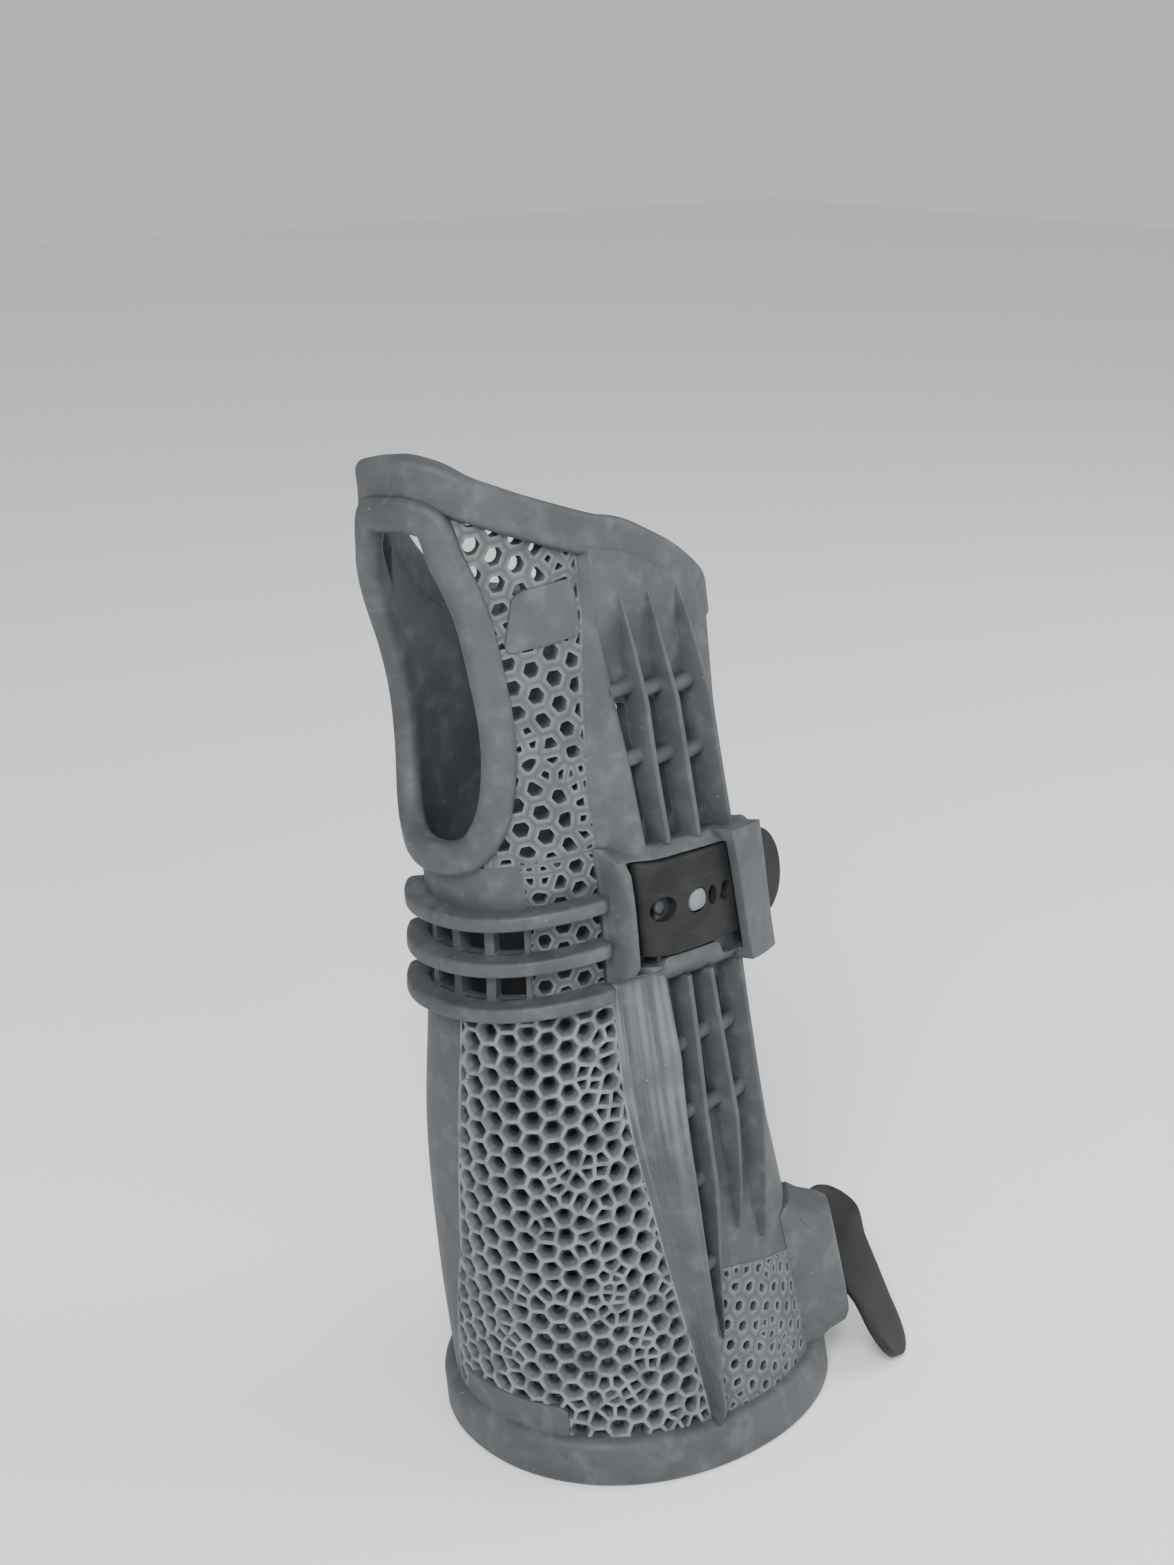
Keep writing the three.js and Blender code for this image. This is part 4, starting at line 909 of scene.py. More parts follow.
def comb_cells(region, seeds, pitch):
    """Each seed's cell, cut off at the region's outline."""
    cells = []
    for i, seed in enumerate(seeds):
        away = np.linalg.norm(seeds - seed, axis=1)
        near = np.argsort(away)[1:20]
        reach = 1.3 * pitch
        polygon = seed + reach * np.array([(-1, -1), (1, -1), (1, 1), (-1, 1)])
        for j in near:
            if away[j] > 2.6 * pitch or len(polygon) < 3:
                break
            polygon = clip_half(polygon, (seed + seeds[j]) / 2, seeds[j] - seed)
        if len(polygon) < 3:
            continue
        if not all(inside(p, region) for p in polygon):
            shape = region.copy()
            for a, b in zip(polygon, np.roll(polygon, -1, axis=0)):
                if len(shape) < 3:
                    break
                way = b - a
                shape = clip_half(shape, a, np.array([way[1], -way[0]]))
            polygon = shape
        if len(polygon) >= 3 and abs(area(polygon)) > SMALLEST_CELL:
            cells.append(polygon)
    return cells


def comb(name, outline, pitch, clusters, seed, ridge_half=0.42, hole_share=0.5, flat_top=False, lift=None):
    """A honeycomb panel: thin ridges, funnels down to round holes, and blind pits in the small cells.
    outline is a loop of turns and levels, and lift how far the panel stands out at a turn and level."""
    rng = random.Random(seed)
    turn, level = np.asarray(outline, float).T
    region = anticlockwise(np.column_stack([to_plane(turn, level), level]))
    cells = comb_cells(region, comb_seeds(region, pitch, clusters, rng), pitch)
    flat_points, outs, ridge, painted_shade, faces, walls = [], [], [], [], [], {}
    for polygon in cells:
        polygon = anticlockwise(polygon)
        keep_corner = [np.linalg.norm(polygon[i] - polygon[i - 1]) > 1e-6 for i in range(len(polygon))]
        polygon = polygon[keep_corner]
        if len(polygon) < 3:
            continue
        following = np.roll(polygon, -1, axis=0)
        weight = polygon[:, 0] * following[:, 1] - following[:, 0] * polygon[:, 1]
        centre = ((polygon + following) * weight[:, None]).sum(0) / (3 * weight.sum())
        ways = following - polygon
        lengths = np.linalg.norm(ways, axis=1)
        normals = np.column_stack([ways[:, 1], -ways[:, 0]]) / lengths[:, None]
        heights = ((polygon - centre) * normals).sum(1)
        inner_radius = max(heights.min(), 0.2)
        rim_points, share = [], []
        for i, corner in enumerate(polygon):
            parts = 3 if lengths[i] > 1.2 else 1
            for k in range(parts):
                rim_points.append(corner + ways[i] * k / parts)
                height = heights[i] if k else min(heights[i], heights[i - 1])
                share.append(min(ridge_half / max(height, 0.3), 0.6))
        rim_points, share = np.array(rim_points), np.array(share)[:, None]
        count = len(rim_points)
        blind = inner_radius < BLIND_RADIUS or area(polygon) < BLIND_AREA
        hole = inner_radius * (0.45 if blind else hole_share * rng.uniform(0.92, 1.06))
        ways_out = rim_points - centre
        ways_out /= np.maximum(np.linalg.norm(ways_out, axis=1), 1e-6)[:, None]
        circle = centre + ways_out * hole
        ridge_loop = rim_points + (centre - rim_points) * share
        depth = PIT_DEPTH if blind else FUNNEL_DEPTH
        # Each ring: its points, how far out it lies, its painted highlight, its painted shade.
        rings = [
            (rim_points, COMB_OUT, 0.0 if flat_top else 0.8, 0.0),
            (ridge_loop, COMB_OUT * (1.0 if flat_top else 0.5), 0.6, 0.0),
            (ridge_loop * 0.78 + circle * 0.22, -0.22 * depth, 0.1, 0.0),
            (ridge_loop * 0.3 + circle * 0.7, -0.66 * depth, 0.0, 0.3),
            (circle, -depth, 0.0, 0.45 if blind else 0.85),
        ]
        start = len(flat_points)
        if blind:
            rings.append((centre + (circle - centre) * 0.02, -depth - 0.15, 0.0, 0.3))
        else:
            rings.append((centre + (circle - centre) * 0.96, -WALL, 0.0, 1.0))
        rings.append((rim_points, -WALL, 0.0, 0.5))
        for ring_points, out, ridge_light, shade in rings:
            flat_points.extend(ring_points)
            outs.extend([out] * count)
            ridge.extend([ridge_light] * count)
            painted_shade.extend([shade] * count)
        last = len(rings) - 1
        for r in range(last):
            if blind and r == last - 1:
                continue
            for i in range(count):
                j = (i + 1) % count
                a, b = start + r * count, start + (r + 1) * count
                faces.append((a + i, a + j, b + j, b + i))
        if blind:
            faces.append(tuple(start + (last - 1) * count + i for i in range(count)))
            faces.append(tuple(start + last * count + i for i in range(count))[::-1])
        for i in range(count):
            j = (i + 1) % count
            key = tuple(sorted((tuple(np.round(rim_points[i], 3)), tuple(np.round(rim_points[j], 3)))))
            walls.setdefault(key, []).append((start + i, start + j, start + last * count + j,
                                              start + last * count + i))
    for sides in walls.values():
        if len(sides) == 1:
            a, b, c, d = sides[0]
            faces.append((b, a, d, c))
    flat_points, outs = np.array(flat_points), np.array(outs)
    levels = flat_points[:, 1]
    turns = from_plane(flat_points[:, 0], levels)
    if lift:
        outs = outs + np.where(outs > -WALL + 0.01, lift(turns, levels), 0)
    # The marks carry the painted highlight on the ridges and the painted shade in the hollows.
    made = mesh_object(name, place(turns, levels, outs), faces, COMB, flow=flat_points * MM,
                       marks={"ridge": ridge, "painted_shade": painted_shade})
    return crisp(clean(made, 2e-6), 42)


OUTLINE_STEP, OUTLINE_RUN = 2.5, 24


def between(left, right, low, high):
    """A loop of turns and levels round a region given by its four edges."""
    corner = []
    for side in (left, right):
        level_low, level_high = 0.0, 0.0
        for _ in range(12):
            level_low = float(low(side(level_low)))
            level_high = float(high(side(level_high)))
        corner.append((level_low, level_high))
    (a, b), (c, d) = corner
    rise_right = np.linspace(c, d, max(2, int((d - c) / OUTLINE_STEP)))
    rise_left = np.linspace(b, a, max(2, int((b - a) / OUTLINE_STEP)))
    run_top = np.linspace(float(right(d)), float(left(b)), OUTLINE_RUN)
    run_low = np.linspace(float(left(a)), float(right(c)), OUTLINE_RUN)
    return [*zip(right(rise_right)[:-1], rise_right[:-1]), *zip(run_top[:-1], high(run_top)[:-1]),
            *zip(left(rise_left)[:-1], rise_left[:-1]), *zip(run_low[:-1], low(run_low)[:-1])]


PITCH = 5.3


def forearm_clusters(centre):
    """How often small cells take a cell's place: less on the thumb's side."""
    return 0.05 if centre[0] < -6 else 0.13


forearm_mesh = comb("forearm_mesh_panel", between(forearm_left, forearm_right, under_cuff, flat(WRIST_LOW)),
                    PITCH, forearm_clusters, 7)


# Ribs and channels

def rib_turn(ribs, i, level):
    return edge(ribs[i])(level)


def beside_spine(ribs):
    def line(level):
        turn = rib_turn(ribs, 0, level)
        return turn + RIB_WIDTH / 2 * degrees_per_mm(turn, level)
    return line


HAND_CREST_TOP, CUFF_CREST_FADE = 0.868 * LENGTH, 8.0
SPINE_TUCK = 4.0


def spine(name, ribs, left, low, high, along, material):
    """The strip that rises to a crest beside the channels, and ends in a point."""
    low_level = float(low(0.0))

    def rise(turn, level):
        crest = rib_turn(ribs, 0, level)
        if ribs is HAND_RIBS:
            tip = np.clip((HAND_CREST_TOP - level) / (0.3 * LENGTH), 0, 1) ** 0.6
        else:
            tip = 0.3 + 0.7 * smoothstep(level, low_level, low_level + CUFF_CREST_FADE)
        share = np.clip((turn - left(level)) / (crest - left(level)), 0, 1)
        past = np.clip((turn - crest) / degrees_per_mm(turn, level) / (RIB_WIDTH / 2), 0, 1)
        top = SPINE_REACH * tip * share**2 * (3 - 2 * share)
        if ribs is HAND_RIBS:
            top = np.maximum(top, plate_rise(turn, level) * share)
        return top - 0.6 * past**2 * tip
    return crisp(sheet(name, left, beside_spine(ribs), low, high, 48, along, material, outer=rise), 45)


def slot_cutters(ribs, rows):
    cutters = []
    for i, start, end in rows:
        def side(index, sign):
            def line(level):
                turn = rib_turn(ribs, index, level)
                return turn + sign * (RIB_WIDTH / 2 + SLOT_LEDGE) * degrees_per_mm(turn, level)
            return line
        cutters.append(plug(window(side(i, 1), side(i + 1, -1), start * LENGTH, end * LENGTH, 1.6),
                            -WALL - 1, 1.0))
    return cutters


RIB_STEPS = 90


def blade(ribs, index, start, end, top_fades):
    """A rib: a blade along the shell, rounded on top, with a point at the end that fades out."""
    level = np.linspace(start, end, RIB_STEPS)
    line = catmull(ribs[index], 60)
    turn = np.interp(level / LENGTH, line[:, 0], line[:, 1])
    share = np.linspace(0, 1, RIB_STEPS)
    fade = np.clip((1 - share if top_fades else share) / RIB_FADE, 0, 1) ** 0.7
    reach = 2 * FIT + (RIB_REACH - 2 * FIT) * fade
    degrees = (RIB_TIP + (1 - RIB_TIP) * fade) * degrees_per_mm(turn, level)
    lines = []
    for across, up in ((-0.5 * RIB_FOOT, -0.6), (-0.42 * RIB_FOOT, 0.35), (-0.5 * RIB_WIDTH, 1.0),
                       (-0.36 * RIB_WIDTH, -0.4), (-0.3 * RIB_WIDTH, -0.12), (-0.16 * RIB_WIDTH, 0.0),
                       (0.16 * RIB_WIDTH, 0.0), (0.3 * RIB_WIDTH, -0.12), (0.36 * RIB_WIDTH, -0.4),
                       (0.5 * RIB_WIDTH, 1.0), (0.42 * RIB_FOOT, 0.35), (0.5 * RIB_FOOT, -0.6)):
        foot = abs(across) >= 0.42 * RIB_FOOT or up == 1.0
        out = np.minimum(up, reach * 0.3) if foot else reach + up * fade
        lines.append(place(turn + across * degrees, level, out))
    return crisp(from_lines("rib", lines), 50)


ROD_OUT = 1.3
ROD_SIDE, ROD_CORNER = 0.9 * ROD_DIAMETER, 0.44 * ROD_DIAMETER


def rods(ribs, rows):
    """Round rods across the channels, from one rib into the next."""
    guides = []
    for i, at in rows:
        level = at * LENGTH
        turn = np.linspace(float(rib_turn(ribs, i, level)), float(rib_turn(ribs, i + 1, level)), 8)
        guides.append(guide(turn, level, ROD_OUT))
    return sweep("rods", guides, ROD_SIDE, ROD_SIDE, ROD_CORNER)


keep(spine("forearm_spine", FOREARM_RIBS, forearm_right, under_cuff,
           lambda turn: station_low(turn) + SPINE_TUCK, 160, STRIP), "forearm_spine")
keep(spine("hand_spine", HAND_RIBS, hand_right, lambda turn: station_high(turn) - SPINE_TUCK,
           below_hand_rim, 120, PRINTED), "hand_spine")


def small_mesh_top(turn):
    return SMALL_MESH_LEVEL - SMALL_MESH_SLOPE * np.clip(np.asarray(turn, float) - 3, 0, None)


channel_floor = sheet("forearm_channel_floor", beside_spine(FOREARM_RIBS), flat(STATION_RIGHT),
                      small_mesh_top, station_low, 90, 110, PRINTED)
cut(channel_floor, slot_cutters(FOREARM_RIBS, FOREARM_SLOTS))
side_strip = sheet("side_strip", flat(SMALL_MESH_RIGHT), flat(STATION_RIGHT), under_cuff,
                   small_mesh_top, 12, 40, PRINTED)
small_mesh = comb("small_mesh", between(beside_spine(FOREARM_RIBS), flat(SMALL_MESH_RIGHT), under_cuff,
                                        small_mesh_top), PITCH, lambda c: 0.06, 11, 1.5, 0.46, True)
keep(crisp(join("forearm_channel_floor", [channel_floor, side_strip, small_mesh]), 42),
     "forearm_channel_floor")

forearm_ribs = [rods(FOREARM_RIBS, FOREARM_RODS)]
for rib_index in (1, 2, 3):
    rib_start = FOREARM_RIBS[rib_index][0, 0] * LENGTH
    rib_end = float(station_low(rib_turn(FOREARM_RIBS, rib_index, WRIST_LOW)))
    forearm_ribs.append(blade(FOREARM_RIBS, rib_index, rib_start, rib_end, top_fades=False))
keep(join("forearm_ribs", forearm_ribs), "forearm_ribs")

hand_floor = sheet("hand_channel_floor", beside_spine(HAND_RIBS), flat(STATION_RIGHT), station_high,
                   below_hand_rim, 90, 90, PRINTED, outer=plate_rise)
keep(crisp(cut(hand_floor, slot_cutters(HAND_RIBS, HAND_SLOTS))), "hand_channel_floor")
hand_ribs = [rods(HAND_RIBS, HAND_RODS)]
for rib_index in (1, 2, 3):
    rib_end = HAND_RIBS[rib_index][-1, 0] * LENGTH
    rib_start = float(station_high(rib_turn(HAND_RIBS, rib_index, WRIST_HIGH)))
    hand_ribs.append(blade(HAND_RIBS, rib_index, rib_start, rib_end, top_fades=True))
keep(join("hand_ribs", hand_ribs), "hand_ribs")

# The hand's honeycomb lies between the thumb's ring, the strip and the hand rim
HAND_MESH_TOP, HAND_MESH_CORNERS, HAND_MESH_FOOT = 226.0, (-8.0, -76.0), (-66.0, 158.0)
hand_outline = [(float(hand_right(WRIST_HIGH)), WRIST_HIGH)]
for outline_level in np.linspace(WRIST_HIGH + 3, HAND_MESH_TOP, 28):
    hand_outline.append((float(hand_right(outline_level)) + 0.4, outline_level))
for outline_turn in np.linspace(*HAND_MESH_CORNERS, 20):
    hand_outline.append((outline_turn, float(below_hand_rim(outline_turn))))
thumb_side = [tuple(p) for p in thumb_loop if p[0] > HAND_MESH_CORNERS[1] and p[1] > HAND_MESH_FOOT[1] - 2]
hand_outline += sorted(thumb_side, key=lambda p: -p[1])[::3]
hand_outline += [HAND_MESH_FOOT, (HAND_MESH_FOOT[0], WRIST_HIGH)]
hand_mesh = comb("hand_mesh_panel", hand_outline, PITCH * 1.08, lambda c: 0.07, 5, 1.15, 0.6, True)

# Two bare plates: left and right turn, lower and upper edge, how the two sides lean
BACK_PLATE = (-37.0, -9.0, flat(203.5), flat(216.0), 0.55, 0.0)
CUFF_PLATE = (-98.0, -56.0, lambda turn: cuff_edge(turn) - 1, lambda turn: cuff_edge(turn) + 7.5, 0.1, 0.1)
PLATE_CORNER, PLATE_INNER, PLATE_OUTER = 2.2, -1.2, 0.8


def plate(left, right, low, high, left_lean, right_lean):
    """A plain plate over the honeycomb, its sides leaning by so many degrees a millimetre."""
    def side(turn, lean, sign):
        bottom, top = float(low(turn)), float(high(turn))

        def line(level):
            level = np.asarray(level, float)
            inset = corner_inset(PLATE_CORNER, np.minimum(level - bottom, top - level))
            return turn + lean * (level - bottom) + sign * inset * degrees_per_mm(turn, level)
        return line
    made = sheet("plate", side(left, left_lean, 1), side(right, right_lean, -1), low, high, 30, 24, PRINTED,
                 inner=PLATE_INNER, outer=even(PLATE_OUTER))
    return rounded(made, 0.3, 2)


keep(join("hand_mesh_panel", [hand_mesh, plate(*BACK_PLATE)]), "hand_mesh_panel")
keep(join("forearm_mesh_panel", [forearm_mesh, plate(*CUFF_PLATE)]), "forearm_mesh_panel")

# The collar round the wrist: a plain shell with vent windows, honeycomb beside it, three fins

vent_sheet = sheet("wrist_vent_panel", flat(PALM_TURN), flat(VENT_TURN), flat(WRIST_LOW), flat(WRIST_HIGH),
                   90, 40, PRINTED)
vent_cutters = [thumb_cutter()]
for side in (-1, 1):
    vent_low = COLLAR_LEVEL + (-FIN_PITCH if side < 0 else 0) + FIN_HEIGHT / 2
    vent_high = vent_low + FIN_PITCH - FIN_HEIGHT
    vent_middle = (vent_low + vent_high) / 2
    for i in range(VENT_COUNT):
        start = float(turn_at_distance(VENT_TURN, vent_middle, -(i + 1) * VENT_PITCH + VENT_BAR / 2))
        end = float(turn_at_distance(VENT_TURN, vent_middle, -i * VENT_PITCH - VENT_BAR / 2))
        vent_cutters.append(plug(window(flat(start), flat(end), vent_low, vent_high, 0.5), -WALL - 1, 1.0))
crisp(cut(vent_sheet, vent_cutters))

# A low piece at the palm's side, between the collar and the thumb's ring
HEEL_RIGHT, HEEL_HIGH = -100.0, 172.0
heel = sheet("heel", flat(PALM_TURN), flat(HEEL_RIGHT), flat(WRIST_HIGH), flat(HEEL_HIGH), 20, 10, PRINTED)
crisp(cut(heel, [thumb_cutter()]))


def sunk(turn, level):
    """Between the fins the honeycomb lies deeper."""
    return -1.1 * (1 - smoothstep(level, COLLAR_LEVEL + FIN_PITCH, COLLAR_LEVEL + 1.5 * FIN_PITCH))


collar_outline = between(flat(VENT_TURN), flat(STATION_LEFT), flat(WRIST_LOW), flat(WRIST_HIGH))
collar_mesh = comb("collar_mesh", collar_outline, PITCH, lambda c: 0.05, 3, 1.0, 0.55, True, sunk)
keep(crisp(join("wrist_vent_panel", [vent_sheet, heel, collar_mesh]), 42), "wrist_vent_panel")

# Each fin's ends are rounded off over a few millimetres
FIN_RIGHT, FIN_END = STATION_LEFT - 1, 3.0
fin_turns = np.linspace(PALM_TURN, FIN_RIGHT, 150)
fin_ends = np.minimum(fin_turns - PALM_TURN, FIN_RIGHT - fin_turns) / degrees_per_mm(fin_turns, COLLAR_LEVEL)
fin_share = np.sqrt(np.clip(1 - np.clip(1 - fin_ends / FIN_END, 0, 1) ** 2, 0.06, 1))
for row in (-1, 0, 1):
    lines = []
    for up, out in ((-1, -0.6), (-1, 0.8), (-0.95, 0.9), (-0.82, 0.97), (-0.62, 1.0), (0.62, 1.0),
                    (0.82, 0.97), (0.95, 0.9), (1, 0.8), (1, -0.6)):
        reach = np.where(out < 0, out, FIN_REACH * out * fin_share)
        level = COLLAR_LEVEL + row * FIN_PITCH + up * FIN_HEIGHT / 2 * fin_share
        lines.append(place(fin_turns, level, reach))
    keep(crisp(from_lines("fin", lines), 50), f"collar_fin_{row + 2}")

# Straps, stations and keepers

# How far the shell's waist stands out past a straight strap across it
WAIST_TURNS = np.array([48.0, 60, 75, 90, 108])
waist_level = strap_level(WRIST_BELT, WAIST_TURNS)
waist_middle = skin(WAIST_TURNS, waist_level)
waist_away = skin(WAIST_TURNS, waist_level, 1.0) - waist_middle
waist_chord = (skin(WAIST_TURNS, waist_level + STRAP_WIDTH / 2)
               + skin(WAIST_TURNS, waist_level - STRAP_WIDTH / 2)) / 2 - waist_middle
WAIST_RISE = max(0.0, float((waist_chord * waist_away).sum(1).max()))
UNDER_STRAP = STRAP_THICKNESS / 2 + FIT + WAIST_RISE
TUNNEL_HEIGHT = STRAP_THICKNESS + WAIST_RISE + 2 * FIT
BED_TOP = TUNNEL_HEIGHT + BED_THICKNESS
OVER_STRAP = BED_TOP + FIT + STRAP_THICKNESS / 2
STATION_REACH = BED_TOP + STRAP_THICKNESS
KEEPER_UNDER = OVER_STRAP + STRAP_THICKNESS / 2 + 2 * FIT
CLIMB = OVER_STRAP - UNDER_STRAP


def belt_low(belt):
    return lambda turn: window_low(belt, turn) - STATION_BORDER


def belt_high(belt):
    return lambda turn: window_high(belt, turn) + STATION_BORDER


def wrist_bed_low(turn):
    """The wrist bed's lower side keeps close to the strap between the slot and a pocket by the keeper."""
    close = strap_level(WRIST_BELT, turn) - STRAP_WIDTH / 2 - 0.5
    share = smoothstep(turn, -6.5, -4.5) * (1 - smoothstep(turn, 13.0, 15.5))
    return window_low(WRIST_BELT, turn) * (1 - share) + close * share


def wrist_frame_top(turn, level):
    side = np.minimum(level - belt_low(WRIST_BELT)(turn), belt_high(WRIST_BELT)(turn) - level)
    shoulder = 0.4 + (STATION_REACH - 0.4) * smoothstep(turn, SHOULDER_LEFT, SLOT_LEFT - 0.8)
    past = smoothstep(turn, -11.0, -4.0)
    flank = (STATION_REACH - STATION_BORDER) * past + 1.0 * (1 - past) + side * (1 + 0.7 * (1 - past))
    return np.minimum(np.clip(flank, 0.4, STATION_REACH), shoulder)


KEEPER_TOP = KEEPER_UNDER + KEEPER_THICKNESS
HUMP_ABOVE = 4.0


def hump_low(turn):
    return cuff_edge(turn) - 1


def hump_high(turn):
    return belt_high(CUFF_BELT)(turn) + HUMP_ABOVE


def cuff_hump(turn, level):
    """The cuff's keeper swells out of the shell beside the small honeycomb."""
    swell = smoothstep(turn, CUFF_SHOULDER_LEFT, CUFF_SLOT_LEFT + 2)
    top = 0.1 + 0.9 * smoothstep(hump_high(turn) - level, 0.0, HUMP_ABOVE + 2)
    foot = 0.35 + 0.65 * smoothstep(level - hump_low(turn), 0.0, 5.0)
    return (KEEPER_TOP - 0.2) * swell * top * foot + 0.2


def station(name, belt, left, shoulder_right, right, slot_left, bed_left, inner, top, bed_low, low, high):
    """The raised frame round the bed: a shoulder, two rails, and the web that the strap lies on."""

    def above(turn):
        return window_high(belt, turn)

    def slab(start, end, bottom, ceiling, across, along, foot, roof, width):
        made = sheet("slab", flat(start), flat(end), bottom, ceiling, across, along, PRINTED, inner=foot,
                     outer=roof)
        return rounded(made, width, 3)
    parts = [
        slab(left, shoulder_right, low, high, 12, 12, inner, top, 0.45),
        slab(slot_left - 1, right, above, belt_high(belt), 40, 3, inner, top, 0.5),
        slab(slot_left - 1, right, low, bed_low, 60, 4, inner, top, 0.5),
        slab(bed_left, right, lambda turn: window_low(belt, turn) - 1, lambda turn: above(turn) + 1, 30, 8,
             TUNNEL_HEIGHT, even(BED_TOP), 0.4),
    ]
    if inner < -1:
        parts.append(slab(left, right, low, high, 40, 8, inner, even(0.0), 0.1))
    return join(name, parts)


def slant(belt, ends):
    """A slanting edge from the turn at its foot to the turn at its top."""
    foot, tip = ends
    start, end = float(belt_low(belt)(foot)), float(belt_high(belt)(tip))

    def line(level):
        share = np.clip((np.asarray(level, float) - start) / (end - start), 0, 1)
        return foot + (tip - foot) * share
    return line


def keeper(name, belt, left, right, roof, low, high, foot, way_left):
    """A bridge over the strap's end, hollowed by the way that the strap takes."""
    bridge = sheet(name, slant(belt, left), slant(belt, right), low, high, 24, 20, PRINTED,
                   inner=foot, outer=roof)
    way = sheet("way", flat(way_left), flat(max(right) + 4), lambda turn: window_low(belt, turn),
                lambda turn: window_high(belt, turn), 30, 1, PRINTED, inner=0.0, outer=even(KEEPER_UNDER))
    return rounded(clean(cut(bridge, [way])), 0.5, 3)


STUD_TALLER = 1.3


def stud(turn, level, top, radius):
    """A short rounded stud on the bed, longer along the forearm than across."""
    rings = []
    angles = np.linspace(0, 2 * math.pi, 28, endpoint=False)
    degrees = float(degrees_per_mm(turn, level))
    for out, share in ((BED_TOP - 0.3, 1.0), (top - 0.6, 1.0), (top - 0.2, 0.88), (top, 0.62)):
        rings.append(place(turn + radius * share * np.cos(angles) * degrees,
                           level + STUD_TALLER * radius * share * np.sin(angles), out))
    return crisp(loft("stud", rings, PRINTED), 60)


PEG_LEVEL = float(strap_level(WRIST_BELT, PEG_TURN))
STUD_TURN = float(turn_at_distance(PEG_TURN, PEG_LEVEL, -PEG_PITCH))
STUD_RADIUS = 1.4
wrist_frame = station("wrist_station", WRIST_BELT, SHOULDER_LEFT, SLOT_LEFT, STATION_RIGHT, SLOT_LEFT,
                      BED_LEFT, -WALL, wrist_frame_top, wrist_bed_low, belt_low(WRIST_BELT),
                      belt_high(WRIST_BELT))
wrist_stud = stud(STUD_TURN + 0.6, float(strap_level(WRIST_BELT, STUD_TURN)), OVER_STRAP - 0.2, STUD_RADIUS)
keep(join("wrist_station", [wrist_frame, wrist_stud]), "wrist_station")
keep(keeper("wrist_keeper", WRIST_BELT, KEEPER_LEFT, KEEPER_RIGHT, even(KEEPER_TOP), belt_low(WRIST_BELT),
            belt_high(WRIST_BELT), STATION_REACH / 2, min(KEEPER_LEFT) - 4), "wrist_keeper")


def cuff_frame_top(turn, level):
    """The cuff's shoulder swells as the keeper does, and its rails lie a little lower."""
    rails = np.minimum(STATION_REACH, cuff_hump(turn, level) - 0.3)
    return np.where(turn < CUFF_STATION_LEFT + 0.2, cuff_hump(turn, level), rails)


keep(station("cuff_station", CUFF_BELT, CUFF_SHOULDER_LEFT, CUFF_STATION_LEFT + 0.1, CUFF_STATION_RIGHT,
             CUFF_SLOT_LEFT, CUFF_BED_LEFT, 0.05, cuff_frame_top, lambda turn: window_low(CUFF_BELT, turn),
             hump_low, hump_high), "cuff_station")
keep(keeper("cuff_keeper", CUFF_BELT, (CUFF_STATION_LEFT,) * 2, (CUFF_STATION_RIGHT,) * 2, cuff_hump,
            hump_low, hump_high, 0.05, CUFF_SLOT_LEFT), "cuff_keeper")

# Routes of the straps: turn, distance outwards, drop along the forearm, twist
WRIST_ROUTE = np.array([
    (128, UNDER_STRAP, 0, 0), (108, UNDER_STRAP, 0, 0), (90, UNDER_STRAP, 0, 0), (72, UNDER_STRAP, 0, 0),
    (55, UNDER_STRAP, 0, 0), (36, UNDER_STRAP, 0, 0), (18, UNDER_STRAP, 0, 0), (2, UNDER_STRAP, 0, 0),
    (-5.5, UNDER_STRAP, 0, 0), (-9.8, UNDER_STRAP + 0.35 * CLIMB, 0, 0),
    (-10, UNDER_STRAP + 0.75 * CLIMB, 0, 0), (-6, OVER_STRAP + 0.5, 0, 0), (1, OVER_STRAP + 0.9, 0, 0),
    (9, OVER_STRAP + 0.4, 0, 0), (18, OVER_STRAP, 0, 0), (30, OVER_STRAP, 0, 0), (40, OVER_STRAP, 0, 0),
    (44, OVER_STRAP + 0.2, 0, 0), (50, OVER_STRAP + 2, 0, 0), (56, OVER_STRAP + 4.6, 0, 0),
])
CUFF_ROUTE = np.array([
    (128, UNDER_STRAP, 0, 0), (108, UNDER_STRAP, 0, 0), (90, UNDER_STRAP, 0, 0), (74, UNDER_STRAP, 0, 0),
    (62, UNDER_STRAP, 0, 0), (53, UNDER_STRAP, 0, 0), (48.6, UNDER_STRAP + 0.35 * CLIMB, 0, 0),
    (48.4, UNDER_STRAP + 0.7 * CLIMB, 0, 0), (52.5, OVER_STRAP, 0, 0), (60, OVER_STRAP, 0, 0),
    (65.5, OVER_STRAP + 0.4, 0, 0), (70.2, OVER_STRAP + 3.4, 2.4, 0.15), (67.8, OVER_STRAP + 7.4, 11, 0.65),
    (60.5, OVER_STRAP + 10.8, 21, 1), (50.5, OVER_STRAP + 13.4, 31, 1),
])
HANGING_WIDTH = np.array((0.8, 0.58, -0.13))
STRAP_STEPS = 300


